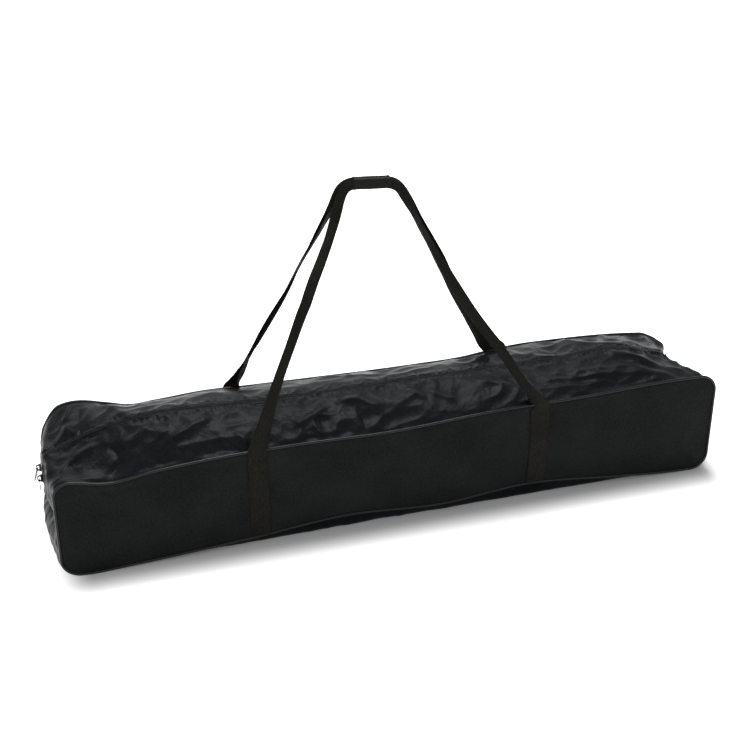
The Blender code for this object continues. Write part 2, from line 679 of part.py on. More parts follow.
def make_frame_sections(steel, metal, rubber, plastic):
    """The pile of tubes: five rails on the floor, a rail and three posts in their hollows, and the feet
    on top. The end feet lie on the spigots that point at the back wall."""
    rails = [lattice(0, 2 * k - (RAILS_ON_FLOOR - 1)) for k in range(RAILS_ON_FLOOR)] + [lattice(1, -3)]
    for number, (y, z) in enumerate(rails, 1):
        make_section(f"rail_{number}", RAIL_LENGTH, y, z, steel, with_button_hole=True)
        make_button(f"rail_{number}_button", y, z, metal)
    for name, place in (("left_post", -1), ("right_post", 1), ("centre_post", 3)):
        y, z = lattice(1, place)
        make_section(name, POST_LENGTH, y, z, steel, with_button_hole=False)
        make_knob_cap(name + "_cap", -POST_LENGTH / 2, y, z, plastic)
    y = lattice(2, 2)[0]
    z = SECOND_LAYER + TUBE_RADIUS + SEAM_GAP + SPIGOT_RADIUS
    x = RAIL_LENGTH / 2 - SEAM_GAP - PLUG_HEAD - FOOT_LENGTH / 2
    for name, side in (("left_foot", -1), ("right_foot", 1)):
        make_foot(name, FOOT_LENGTH, side * x, y, z, steel, rubber, with_spigot=True)
    y, z = lattice(2, 4)
    make_foot("centre_foot", CENTRE_FOOT_LENGTH, 0.0, y, z, steel, rubber, with_spigot=False)


def roll_centre():
    """The rolled net lies on its ties, in the hollow between two tubes of the second layer."""
    y, z = lattice(1, -2)
    reach = TUBE_RADIUS + SEAM_GAP + ROLL_RADIUS + SEAM_GAP + TIE_THICKNESS
    return y, z + math.sqrt(reach**2 - (TUBE_PITCH / 2) ** 2)


def make_roll(name, low_x, high_x, material):
    """A sheet rolled up in a spiral, its outer end tucked under the bottom of the roll."""
    y, z = roll_centre()
    pitch = NET_LAYER + LAYER_GAP
    turns = (ROLL_RADIUS - ROLL_CORE) / pitch
    steps = int(turns * ROLL_SIDES)
    rings = []
    for k in range(steps + 1):
        turn = k / ROLL_SIDES
        angle = 2 * math.pi * turn - math.radians(TUCK_ANGLE)
        outside = ROLL_RADIUS - pitch * turn
        ring = []
        inside = outside - NET_LAYER
        for x, radius in ((low_x, outside), (high_x, outside), (high_x, inside), (low_x, inside)):
            ring.append(Vector((x, y + radius * math.cos(angle), z + radius * math.sin(angle))))
        rings.append(ring)
    add_object(name, loft(rings), material)


def make_net(net, vinyl, tie):
    """The rolled net with its headband, side by side along the roll, and the two ties round it."""
    start = -NET_WIDTH / 2
    split = NET_WIDTH / 2 - HEADBAND_WIDTH
    make_roll("net_roll", start, split, net)
    make_roll("net_headband", split + SEAM_GAP, NET_WIDTH / 2, vinyl)
    y, z = roll_centre()
    inside = ROLL_RADIUS + SEAM_GAP
    outside = inside + TIE_THICKNESS
    half = TIE_WIDTH / 2
    profile = [(-half, outside), (half, outside), (half, inside), (-half, inside)]
    for name, side in (("left", -1), ("right", 1)):
        ring = turned(profile, (side * TIE_SPACING / 2, y, z), (1, 0, 0), 2 * ROLL_SIDES, closed=True)
        add_object(name + "_net_tie", ring, tie)


def main():
    clear_scene()
    panel_cloth = make_material("panel cloth", (0.012, 0.013, 0.012), 0.75)
    gusset_cloth = make_material("gusset cloth", (0.010, 0.011, 0.012), 0.45)
    vinyl_piping = make_material("vinyl piping", (0.008, 0.008, 0.008), 0.30)
    webbing = make_material("webbing", (0.014, 0.014, 0.011), 0.70)
    grip_cloth = make_material("grip cloth", (0.012, 0.012, 0.010), 0.55)
    zip_tape = make_material("zip", (0.010, 0.010, 0.010), 0.50)
    black_metal = make_material("black metal", (0.020, 0.020, 0.020), 0.35, 0.8)
    powder_coat = make_material("powder coated steel", (0.015, 0.015, 0.016), 0.40)
    bright_steel = make_material("bright steel", (0.60, 0.60, 0.62), 0.30, 1.0)
    rubber = make_material("rubber", (0.010, 0.010, 0.010), 0.85)
    plastic = make_material("black plastic", (0.015, 0.015, 0.015), 0.50)
    net_cord = make_material("net", (0.010, 0.010, 0.010), 0.80)
    headband = make_material("white vinyl", (0.80, 0.80, 0.78), 0.45)
    tie = make_material("tie", (0.012, 0.012, 0.012), 0.90)

    make_gusset(gusset_cloth, zip_tape)
    make_panels(panel_cloth, vinyl_piping, webbing)
    for side_name, side in (("front", -1), ("back", 1)):
        make_handle(side_name, side, webbing, grip_cloth)
    make_slider("upper_slider", UPPER_SLIDER_HEIGHT, black_metal)
    make_tab("upper_pull_tab", UPPER_SLIDER_HEIGHT, resting_lean(), black_metal)
    make_slider("lower_slider", LOWER_SLIDER_HEIGHT, black_metal)
    make_tab("lower_pull_tab", LOWER_SLIDER_HEIGHT, 0.0, black_metal)
    make_frame_sections(powder_coat, bright_steel, rubber, plastic)
    make_net(net_cord, headband, tie)


main()
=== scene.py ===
"""Looks of a portable pickleball net packed in its zipped carry bag.

Lengths are metres. +X runs along the bag to the right, -Y is its front and +Z is up. Cloth is described on
its cut, before it is sewn: a gusset has the distance u round the seam, from the middle of the top to the
right, and the share s of the way from the front seam, -1, to the back seam, +1. A panel has x and z.
"""

import json
import logging
import math
from dataclasses import dataclass
from enum import Enum

import bmesh
import bpy
import numpy as np
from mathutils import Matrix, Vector

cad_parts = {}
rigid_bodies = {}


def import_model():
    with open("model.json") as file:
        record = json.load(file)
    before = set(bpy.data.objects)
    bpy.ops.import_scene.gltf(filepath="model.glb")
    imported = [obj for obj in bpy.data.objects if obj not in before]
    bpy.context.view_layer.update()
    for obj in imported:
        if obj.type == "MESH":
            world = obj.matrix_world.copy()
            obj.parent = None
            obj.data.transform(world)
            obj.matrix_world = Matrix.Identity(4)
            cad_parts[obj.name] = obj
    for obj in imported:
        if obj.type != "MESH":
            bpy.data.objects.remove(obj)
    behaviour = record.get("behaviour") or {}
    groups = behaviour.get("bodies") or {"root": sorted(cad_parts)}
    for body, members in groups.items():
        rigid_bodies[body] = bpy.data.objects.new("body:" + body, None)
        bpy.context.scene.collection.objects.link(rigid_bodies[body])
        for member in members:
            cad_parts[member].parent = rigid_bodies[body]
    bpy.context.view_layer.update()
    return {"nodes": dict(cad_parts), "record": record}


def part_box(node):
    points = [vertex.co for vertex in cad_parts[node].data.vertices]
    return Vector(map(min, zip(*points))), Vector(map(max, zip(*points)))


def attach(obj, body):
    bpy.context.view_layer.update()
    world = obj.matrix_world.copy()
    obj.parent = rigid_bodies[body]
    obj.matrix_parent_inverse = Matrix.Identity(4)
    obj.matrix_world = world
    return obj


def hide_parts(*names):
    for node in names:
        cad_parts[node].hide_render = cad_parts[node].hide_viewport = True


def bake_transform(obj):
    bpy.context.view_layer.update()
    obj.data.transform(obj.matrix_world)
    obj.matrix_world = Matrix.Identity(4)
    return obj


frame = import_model()

LOG = logging.getLogger("packed_net")
Array = np.ndarray
Triple = tuple[float, float, float]
Pair = tuple[float, float]
Piece = bpy.types.Object
MM = 0.001


class Signed(Enum):
    """A choice between two directions, whose value is the sign of the axis that they lie along."""

    @property
    def word(self) -> str:
        """The choice's name as the nodes spell it."""
        return self.name.lower()


class Side(Signed):
    """The bag's two long sides, with the sign of their y."""

    FRONT = -1
    BACK = 1


class End(Signed):
    """The bag's two ends, with the sign of their x."""

    LEFT = -1
    RIGHT = 1


# ---- curves and fields


def smooth(value: Array | float, low: float, high: float) -> Array:
    """Share that rises from 0 at low to 1 at high and is level at both: three t squared less two t cubed."""
    t = np.clip((np.asarray(value, float) - low) / (high - low), 0.0, 1.0)
    return t * t * (3 - 2 * t)


@dataclass(frozen=True)
class Curve:
    """A smooth line through a few chosen points, level with its end values outside them.

    Attributes:
        points: Place and value of each, by rising place.
        unit: What a value of one stands for.
    """

    points: tuple[Pair, ...]
    unit: float = 1.0

    def __call__(self, place: Array | float) -> Array:
        """Cubic between neighbours, with the slope at each point taken from the points beside it.

        Args:
            place: Where to read the line.

        Returns:
            Its values there.
        """
        at, value = np.array(self.points, float).T
        slope = np.gradient(value, at)
        k = np.clip(np.searchsorted(at, place) - 1, 0, len(at) - 2)
        step = at[k + 1] - at[k]
        t = np.clip((np.asarray(place, float) - at[k]) / step, 0.0, 1.0)
        start = (1 + 2 * t) * (1 - t) ** 2 * value[k] + t * (1 - t) ** 2 * step * slope[k]
        end = t * t * (3 - 2 * t) * value[k + 1] + t * t * (t - 1) * step * slope[k + 1]
        return (start + end) * self.unit


@dataclass(frozen=True)
class Ripple:
    """Irregular small waves in cloth: a seeded sum of plane waves near one length.

    Attributes:
        length: Mean wavelength.
        height: Root-mean-square height.
        seed: Number that fixes the directions and phases.
        stretch: How much longer the waves are along the first and the second direction.
        spread: The shortest and the longest wave's count, as shares of the mean one's.
    """

    length: float
    height: float
    seed: int
    stretch: Pair = (1.0, 1.0)
    waves: int = 16
    spread: Pair = (0.6, 1.5)

    def __call__(self, p: Array, q: Array) -> Array:
        """Sum over the waves of the sine of (p cos a + q sin a) k + phase, scaled to the wanted height.

        Args:
            p: First coordinates.
            q: Second coordinates.

        Returns:
            Heights there.
        """
        draw = np.random.default_rng(self.seed)
        turns = draw.uniform(0, 2 * math.pi, self.waves)
        phases = draw.uniform(0, 2 * math.pi, self.waves)
        counts = draw.uniform(*self.spread, self.waves) * 2 * math.pi / self.length
        total = np.zeros(np.broadcast(p, q).shape)
        for turn, phase, count in zip(turns, phases, counts):
            across = p * math.cos(turn) / self.stretch[0] + q * math.sin(turn) / self.stretch[1]
            total += np.sin(across * count + phase)
        return total * self.height * math.sqrt(2 / self.waves)


@dataclass(frozen=True)
class Crumple:
    """Sharp-crested wrinkles, as in thin coated cloth that was once folded up small.

    Attributes:
        ripple: Waves of height one that place the crests where they cross zero.
        height: Height of the crests over the mean.
    """

    ripple: Ripple
    height: float
    mean: float = 0.8
    rounding: float = 0.02

    def __call__(self, p: Array, q: Array) -> Array:
        """Height times the mean less the size of the ripple, whose crest is rounded off."""
        return self.height * (self.mean - np.sqrt(self.ripple(p, q) ** 2 + self.rounding))


@dataclass(frozen=True)
class Crease:
    """A fold in cloth along a bowed line on its cut. A positive height stands out, a negative one dips.

    Attributes:
        start, end: The line's ends on the cut.
        width: How far from the line the fold has dropped to a third.
        height: Its height on the line.
        lean: From -1 to 1, how much wider the fold is on the left of the line than on its right.
        bow: How far the middle of the line stands off to the left.
        starts, stops: Shares of the line between which the fold fades in, and out.
    """

    start: Pair
    end: Pair
    width: float
    height: float
    lean: float = 0.0
    bow: float = 0.0
    rounding: float = 0.03
    power: float = 0.7
    starts: Pair = (-0.05, 0.30)
    stops: Pair = (0.70, 1.05)

    def __call__(self, p: Array, q: Array) -> Array:
        """Crest across the line, exp(-((distance / width)^2 + rounding)^power), that fades in and out along it.

        Args:
            p: First coordinates on the cut.
            q: Second coordinates.

        Returns:
            Heights there.
        """
        run = np.subtract(self.end, self.start)
        length = float(np.hypot(*run))
        unit = run / length
        from_p, from_q = p - self.start[0], q - self.start[1]
        t = (from_p * unit[0] + from_q * unit[1]) / length
        off = from_q * unit[0] - from_p * unit[1] - self.bow * 4 * t * (1 - t)
        wide = self.width * (1 + self.lean * np.tanh(off / self.width))
        fade = smooth(t, *self.starts) * (1 - smooth(t, *self.stops))
        return self.height * np.exp(-(((off / wide) ** 2 + self.rounding) ** self.power)) * fade


# ---- meshes


def grid(first: Array, second: Array) -> tuple[Array, Array]:
    """Both coordinates of every crossing of two rows of values, the first along the rows."""
    return np.meshgrid(first, second, indexing="ij")


def stack(x: Array, y: Array, z: Array) -> Array:
    """Three arrays of coordinates as one array of points."""
    return np.stack(np.broadcast_arrays(x, y, z), axis=-1).astype(float)


def unit(vectors: Array) -> Array:
    """Vectors at length one."""
    return vectors / np.maximum(np.linalg.norm(vectors, axis=-1, keepdims=True), 1e-12)


def steps(low: float, high: float, spacing: float) -> Array:
    """Even places from low to high, about one spacing apart, both ends included."""
    return np.linspace(low, high, max(2, int(round(abs(high - low) / spacing)) + 1))


def cells(rows: int, columns: int) -> tuple[Array, Array]:
    """Row and column numbers of every cell of a grid, as two flat arrays."""
    return tuple(part.ravel() for part in np.meshgrid(np.arange(rows), np.arange(columns), indexing="ij"))


def same(vector: Triple, count: int) -> Array:
    """One direction for each of so many places."""
    return np.tile(np.array(vector, float), (count, 1))


def powered(values: Array, power: float) -> Array:
    """Values whose size is raised to a power and whose sign stays, which squares off sines and cosines."""
    return np.sign(values) * np.abs(values) ** power


def make_mesh(name: str, points: Array, faces: list, corners: Array) -> Piece:
    """An object at the origin from points and faces, smooth, with its cut as a UV map in metres.

    Edges with one face are sharp, so that the wall that a thickness puts there doesn't darken the face.

    Args:
        name: The object's name.
        points: Places of the vertices, n by 3.
        faces: One list of vertex numbers for each face.
        corners: The cut's two coordinates at every corner of every face, in order.

    Returns:
        The object, linked into the scene.
    """
    mesh = bpy.data.meshes.new(name)
    mesh.from_pydata(points.reshape(-1, 3).tolist(), [], faces)
    mesh.uv_layers.new(name="cut").data.foreach_set("uv", corners.astype(np.float32).ravel())
    mesh.polygons.foreach_set("use_smooth", np.ones(len(mesh.polygons), bool))
    mesh.update()
    edges = np.empty(len(mesh.loops), np.int32)
    mesh.loops.foreach_get("edge_index", edges)
    mesh.edges.foreach_set("use_edge_sharp", np.bincount(edges, minlength=len(mesh.edges)) == 1)
    made = bpy.data.objects.new(name, mesh)
    bpy.context.scene.collection.objects.link(made)
    return made


def make_surface(
    name: str, points: Array, cut: Array, round_second: bool = False, capped: bool = False, flip: bool = False
) -> Piece:
    """A surface of quads over a grid of points.

    Args:
        name: The object's name.
        points: Rows by columns by 3.
        cut: The cut's coordinates at each point, with one more column than points if round_second.
        round_second: Whether the last column joins the first, as on a tube.
        capped: Whether the two ends of such a tube are closed.
        flip: Whether to turn the faces round.

    Returns:
        The object.
    """
    rows, columns = points.shape[:2]
    i, j = cells(rows - 1, columns - (not round_second))
    ring = [(i, j), (i + 1, j), (i + 1, j + 1), (i, j + 1)]
    if flip:
        ring = ring[::-1]
    quads = np.stack([a * columns + b % columns for a, b in ring], axis=1)
    corners = np.stack([cut[a, b] for a, b in ring], axis=1).reshape(-1, 2)
    faces = quads.tolist()
    if capped:
        near, far = np.arange(columns), (rows - 1) * columns + np.arange(columns)
        order = 1 if flip else -1
        faces += [near[::-order].tolist(), far[::order].tolist()]
        corners = np.concatenate([corners, cut[0, :columns][::-order], cut[-1, :columns][::order]])
    return make_mesh(name, points, faces, corners)


def make_tube(name: str, points: Array, cut: Array, capped: bool = True) -> Piece:
    """A closed tube over rows of points round it, with caps at its ends or with its last row on its first."""
    return join_ring(make_surface(name, points, cut, round_second=True, capped=capped))


def sweep(path: Array, across: Array, out: Array, profile: Array) -> Array:
    """A profile carried along a path.

    Args:
        path: n places.
        across: The profile's first direction at each place.
        out: Its second direction.
        profile: m points, or n by m where it changes along the path.

    Returns:
        n by m by 3: each place plus the profile's two coordinates along the two directions.
    """
    profile = np.broadcast_to(profile, (len(path), *profile.shape[-2:]))
    return path[:, None] + profile[..., :1] * across[:, None] + profile[..., 1:] * out[:, None]


def lengths(path: Array) -> Array:
    """Distance along a path of points, from 0 at its start."""
    return np.concatenate([[0.0], np.cumsum(np.linalg.norm(np.diff(path, axis=0), axis=1))])


def tube_cut(along: Array, around: Array) -> Array:
    """A tube's cut: the distance along it and the distance round it, which has one column more than it."""
    return np.stack(grid(along, around), axis=-1)


def angles(sides: int) -> Array:
    """Radians of a ring's corners, evenly round from 0."""
    return np.arange(sides) / sides * 2 * math.pi


def circle(sides: int, radius: float) -> Array:
    """Points of a circle as a profile, radius times cosine and sine."""
    return radius * np.stack([np.cos(angles(sides)), np.sin(angles(sides))], axis=1)


def oblong(sides: int, half: Pair, powers: Pair) -> Array:
    """Points of a rounded oblong as a profile: its half sizes times the powered cosine and sine."""
    turns = np.cos(angles(sides)), np.sin(angles(sides))
    return np.stack([size * powered(turn, power) for size, turn, power in zip(half, turns, powers)], axis=1)


def scatter(name: str, shape: Array, faces: Array, origins: Array, axes: Array) -> Piece:
    """One object of many copies of a small shape.

    Args:
        name: The object's name.
        shape: The small shape's points, k by 3, in its own axes.
        faces: Its quads, as numbers of those points.
        origins: Where each copy stands, n by 3.
        axes: The three directions of each copy's own axes, n by 3 by 3.

    Returns:
        The object. Its cut is each point's first two own coordinates.
    """
    points = origins[:, None] + np.einsum("ka,nab->nkb", shape, axes)
    numbers = faces[None] + np.arange(len(origins))[:, None, None] * len(shape)
    corners = np.broadcast_to(shape[faces.ravel()][:, :2], (len(origins), faces.size, 2)).reshape(-1, 2)
    return make_mesh(name, points, numbers.reshape(-1, faces.shape[1]).tolist(), corners)


def join_ring(made: Piece) -> Piece:
    """Closes a ring whose last row lies on its first, and points its faces outwards.

    Args:
        made: The piece.

    Returns:
        The same piece.
    """
    mesh = bmesh.new()
    mesh.from_mesh(made.data)
    bmesh.ops.remove_doubles(mesh, verts=mesh.verts, dist=1e-6)
    bmesh.ops.recalc_face_normals(mesh, faces=mesh.faces)
    for edge in mesh.edges:
        edge.smooth = True
    mesh.to_mesh(made.data)
    mesh.free()
    return made


def make_tubes(
    name: str, paths: Array, out: Array, radius: float, sides: int = 6, tip: float = 0.02
) -> Piece:
    """Many thin cords as one object: a circle carried along each path, closed at both ends.

    Args:
        name: The object's name.
        paths: Cords by places by 3.
        out: A direction square to the path at each of those places.
        radius: The cords' radius, which shrinks at the ends.
        sides: Corners of the circle.
        tip: What is left of the radius at the ends.

    Returns:
        The object.
    """
    count, places = paths.shape[:2]
    along = unit(np.gradient(paths, axis=1))
    across = unit(np.cross(along, out))
    wide = np.ones(places)
    wide[[0, -1]] = tip
    ring = circle(sides, radius)[None, None] * wide[None, :, None, None]
    points = paths[:, :, None] + ring[..., :1] * across[:, :, None] + ring[..., 1:] * out[:, :, None]
    i, j = cells(places - 1, sides)
    after = (j + 1) % sides
    quads = np.stack([i * sides + j, (i + 1) * sides + j, (i + 1) * sides + after, i * sides + after], axis=1)
    faces = quads[None] + (np.arange(count) * places * sides)[:, None, None]
    faces = faces.reshape(-1, 4)
    run = np.broadcast_to(np.linspace(0, 1, places)[None, :, None], (count, places, sides)).ravel()
    corners = np.stack([run[faces].ravel(), np.tile([0.0, 0.0, 1.0, 1.0], len(faces)) * radius], axis=1)
    return join_ring(make_mesh(name, points, faces.tolist(), corners))


THREAD_ALONG = (-0.5, -0.36, 0.36, 0.5)
THREAD_WIDE = (0.05, 0.9, 0.9, 0.05)
TOOTH_ALONG = (-0.5, -0.5, -0.36, 0.0, 0.36, 0.5, 0.5)
TOOTH_WIDE = (0.02, 0.55, 0.95, 1.0, 0.95, 0.55, 0.02)


def pill(
    length: float, radius: float, sides: int = 6, along: tuple = TOOTH_ALONG, wide: tuple = TOOTH_WIDE
) -> tuple[Array, Array]:
    """A short thread or tooth: a tube along its first axis whose ends are rounded off to small rings.

    Args:
        length: Its length.
        radius: Its greatest radius.
        sides: Corners of its section.
        along: Places of its rings, as shares of the length from its middle.
        wide: Their shares of the radius.

    Returns:
        Its points and its quads. The last ring of each end is folded onto the axis.
    """
    along, wide = np.array(along) * length, np.array(wide) * radius
    ring = circle(sides, 1.0)
    rings = [stack(np.full(sides, a), ring[:, 0] * w, ring[:, 1] * w) for a, w in zip(along, wide)]
    points = np.concatenate(rings)
    i, j = cells(len(along) - 1, sides)
    after, low, high = (j + 1) % sides, i * sides, (i + 1) * sides
    return points, np.stack([low + j, low + after, high + after, high + j], axis=1)


def thicken(piece: Piece, thickness: float) -> Piece:
    """Gives cloth a back, its thickness inwards from the modelled outer face.

    Args:
        piece: The cloth.
        thickness: How thick it is.

    Returns:
        The same piece.
    """
    solid = piece.modifiers.new("cloth", "SOLIDIFY")
    solid.thickness = thickness
    solid.offset = -1.0
    return piece


# ---- shader expressions


class Wire:
    """A shader socket that takes part in Python expressions, where each operator adds its Math node."""

    def __init__(self, graph: "Graph", socket: bpy.types.NodeSocket) -> None:
        """Keeps the node graph and the socket."""
        self.graph, self.socket = graph, socket

    def math(self, operation: str, *others: "Wire | float") -> "Wire":
        """This value and the others through one Math node."""
        return self.graph.node("ShaderNodeMath", {"operation": operation}, (self, *others))

    def __add__(self, other: "Wire | float") -> "Wire":
        """Sum."""
        return self.math("ADD", other)

    def __sub__(self, other: "Wire | float") -> "Wire":
        """Difference."""
        return self.math("SUBTRACT", other)

    def __rsub__(self, other: float) -> "Wire":
        """A number less this value."""
        return self.graph.node("ShaderNodeMath", {"operation": "SUBTRACT"}, (other, self))

    def __mul__(self, other: "Wire | float") -> "Wire":
        """Product."""
        return self.math("MULTIPLY", other)

    __radd__ = __add__
    __rmul__ = __mul__

    def sine(self) -> "Wire":
        """Sine."""
        return self.math("SINE")

    def absolute(self) -> "Wire":
        """Size without sign."""
        return self.math("ABSOLUTE")

    def clamp(self) -> "Wire":
        """The value kept from 0 to 1."""
        return self.graph.node("ShaderNodeClamp", {}, (self, 0.0, 1.0))


class Graph:
    """The node graph of a material or a world."""

    def __init__(self, owner: bpy.types.Material | bpy.types.World) -> None:
        """Turns the owner's nodes on and finds its Principled shader, if it has one.

        Args:
            owner: The material or world.
        """
        owner.use_nodes = True
        self.owner, self.tree = owner, owner.node_tree
        self.shader = self.tree.nodes.get("Principled BSDF")

    @classmethod
    def material(cls, name: str) -> "Graph":
        """The graph of a new material."""
        return cls(bpy.data.materials.new(name))

    def seen(self) -> Wire:
        """One where the camera sees this, straight, mirrored or through glass, and nought elsewhere.

        Returns:
            The value as a wire.
        """
        first = self.node("ShaderNodeLightPath", {}, (), "Is Camera Ray")
        outputs = first.socket.node.outputs
        return (first + Wire(self, outputs["Is Glossy Ray"]) + Wire(self, outputs["Is Transmission Ray"])).clamp()

    def node(self, kind: str, settings: dict, values: tuple | dict = (), output: int | str = 0) -> Wire:
        """Adds a node.

        Args:
            kind: Blender's name of the node's type.
            settings: The node's own properties, set first.
            values: Numbers, colours or wires for the inputs, in order or by name.
            output: Which output to go on with.

        Returns:
            The output as a wire.
        """
        made = self.tree.nodes.new(kind)
        for key, value in settings.items():
            setattr(made, key, value)
        for key, value in values.items() if isinstance(values, dict) else enumerate(values):
            self.feed(made.inputs[key], value)
        return Wire(self, made.outputs[output])

    def feed(self, socket: bpy.types.NodeSocket, value: object) -> None:
        """Links a wire to an input, or sets the input's own value.

        Args:
            socket: The input.
            value: A wire, a number or a colour.
        """
        if isinstance(value, Wire):
            self.tree.links.new(value.socket, socket)
        elif isinstance(value, tuple) and len(value) == 3 and socket.type == "RGBA":
            socket.default_value = (*value, 1.0)
        else:
            socket.default_value = value

    def cut(self) -> tuple[Wire, Wire]:
        """The two coordinates of the cloth's cut, in metres.

        Returns:
            Both as wires.
        """
        place = self.node("ShaderNodeUVMap", {"uv_map": "cut"})
        parts = self.node("ShaderNodeSeparateXYZ", {}, (place,))
        return parts, Wire(self, parts.socket.node.outputs[1])

    def noise(self, scale: float, detail: float = 3.0, flat: bool = False) -> Wire:
        """Soft random value, round 0.5, at so many waves a metre, on the cut or on the object.

        Args:
            scale: Waves a metre.
            detail: How many finer ones lie on them.
            flat: Whether it lies on the cut.

        Returns:
            The value as a wire.
        """
        if flat:
            place = self.node("ShaderNodeUVMap", {"uv_map": "cut"})
        else:
            place = self.node("ShaderNodeTexCoord", {}, (), "Object")
        return self.node("ShaderNodeTexNoise", {}, {"Vector": place, "Scale": scale, "Detail": detail}, "Fac")

    def blend(self, share: Wire | float, low: tuple, high: tuple) -> Wire:
        """Colour between two others by a share.

        Args:
            share: Share of the second colour.
            low: The first colour.
            high: The second.

        Returns:
            The colour as a wire.
        """
        made = self.node("ShaderNodeMix", {"data_type": "RGBA"}, {0: share}, 2)
        self.feed(made.socket.node.inputs[6], low)
        self.feed(made.socket.node.inputs[7], high)
        return made

    def bump(self, height: Wire, depth: float, under: Wire | None = None) -> Wire:
        """Normal that stands for a height of the given depth in metres.

        Args:
            height: Height, as a share of the depth.
            depth: Metres.
            under: A normal that it adds to.

        Returns:
            The normal as a wire.
        """
        values = {"Strength": 1.0, "Distance": depth, "Height": height}
        if under is not None:
            values["Normal"] = under
        return self.node("ShaderNodeBump", {}, values)

    def finish(self, **sockets: object) -> bpy.types.Material:
        """Sets the shader's own sockets, with underscores for spaces, and returns the material.

        Args:
            sockets: Values or wires by input.

        Returns:
            The material.
        """
        for key, value in sockets.items():
            self.feed(self.shader.inputs[key.replace("_", " ")], value)
        return self.owner


@dataclass(frozen=True)
class WovenCloth:
    """Plain-woven cloth: threads over and under each other, painted shade in the gaps between them, uneven dye and
    a soft sheen.

    Attributes:
        light: Colour of the threads' tops.
        dark: Colour between them, as painted shade.
        pitch: Distance between threads.
        roughness: How matt it is.
        sheen: Share of fuzz that catches light at a slant.
        relief: Height of the threads.
        gloss: How strongly it mirrors, where 0.5 is plain plastic.
        crumple: Height of the finest wrinkles.
        tint: Colour of the sheen.
        waves: Waves a metre of the threads' slubs, the dye's clouds and the two sizes of fine wrinkles.
        shades: How much threads (lit tops over painted shade between them), slubs and clouds lighten the cloth,
            and what they are counted from.
    """

    light: Triple
    dark: Triple
    pitch: float
    roughness: float
    sheen: float
    relief: float
    gloss: float = 0.15
    crumple: float = 0.15 * MM
    tint: Triple = (1.0, 1.0, 1.0)
    waves: tuple[float, ...] = (260.0, 11.0, 34.0, 110.0)
    shades: tuple[float, ...] = (0.4, 1.1, 1.4, 0.95)

    def material(self, name: str) -> bpy.types.Material:
        """Thread height is the larger of two rows of arches, each cut out where the other row goes over. The
        colour darkens with it, as painted shade between the threads.

        Args:
            name: The material's name.

        Returns:
            The material.
        """
        g = Graph.material(name)
        p, q = g.cut()
        warp = (p * (math.pi / self.pitch)).sine()
        weft = (q * (math.pi / self.pitch)).sine()
        over = (warp * weft) * 0.5 + 0.5
        threads = over.math("SMOOTH_MIN", 0.85, 0.2)
        slub = g.noise(self.waves[0], 2.0, flat=True)
        clouds = g.noise(self.waves[1], 4.0, flat=True)
        weave, uneven, faded, level = self.shades
        # The threads' share lightens their tops and darkens the gaps between them: painted shade.
        shade = (threads * weave + slub * uneven + clouds * faded - level).clamp()
        matt = (clouds * 0.16 + (self.roughness - 0.08)).clamp()
        wide, fine = ((g.noise(waves, 3.0, flat=True) - 0.5).absolute() for waves in self.waves[2:])
        folds = g.bump(1.0 - wide * 2.6 - fine * 0.5, self.crumple)
        return g.finish(
            Base_Color=g.blend(shade, self.dark, self.light),
            Roughness=matt,
            Normal=g.bump(threads + slub * 0.6, self.relief, folds),
            Specular_IOR_Level=self.gloss,
            Sheen_Weight=self.sheen,
            Sheen_Roughness=0.45,
            Sheen_Tint=self.tint,
        )


@dataclass(frozen=True)
class WebbingWeave:
    """Polypropylene webbing: ribs across its width in two offset rows, like small chevrons.

    Attributes:
        light: Colour of the ribs' tops.
        dark: Colour between them, as painted shade.
        rib: Distance between ribs.
        roughness: How matt it is.
        waves: Waves a metre of its fibres and of its wear.
        shades: How much ribs and threads (lit tops over painted shade between them), fibres and wear lighten it,
            and what they are counted from.
        gloss: How strongly it mirrors, where 0.5 is plain plastic.
        sheen: Share of fuzz that catches light at a slant.
    """

    light: Triple
    dark: Triple
    rib: float = 1.7 * MM
    roughness: float = 0.62
    chevron: float = 8 * MM
    warp: float = 1.3 * MM
    waves: Pair = (430.0, 40.0)
    shades: tuple[float, ...] = (0.45, 0.15, 1.7, 0.5, 1.25)
    relief: float = 0.35 * MM
    gloss: float = 0.08
    sheen: float = 0.02

    def material(self, name: str) -> bpy.types.Material:
        """Height is a row of arches along the strap whose phase zigzags across it. The colour darkens with the
        ribs and threads, as painted shade between them.

        Args:
            name: The material's name.

        Returns:
            The material.
        """
        g = Graph.material(name)
        along, across = g.cut()
        zigzag = (across * (1 / self.chevron)).math("PINGPONG", 1.0)
        ribs = ((along * (1 / self.rib) + zigzag * 1.4) * math.pi).sine().absolute()
        warp = (across * (math.pi / self.warp)).sine().absolute()
        fibre, wear = (g.noise(waves, 3.0, flat=True) for waves in self.waves)
        of_ribs, of_warp, of_fibre, of_wear, level = self.shades
        # The ribs' and warp threads' shares lighten their tops and darken the grooves between them: painted shade.
        shade = (ribs * of_ribs + warp * of_warp + fibre * of_fibre + wear * of_wear - level).clamp()
        return g.finish(
            Base_Color=g.blend(shade, self.dark, self.light),
            Roughness=(wear * 0.2 + (self.roughness - 0.1)).clamp(),
            Normal=g.bump(ribs + warp * 0.4 + fibre * 0.3, self.relief),
            Specular_IOR_Level=self.gloss,
            Sheen_Weight=self.sheen,
            Sheen_Roughness=0.5,
        )


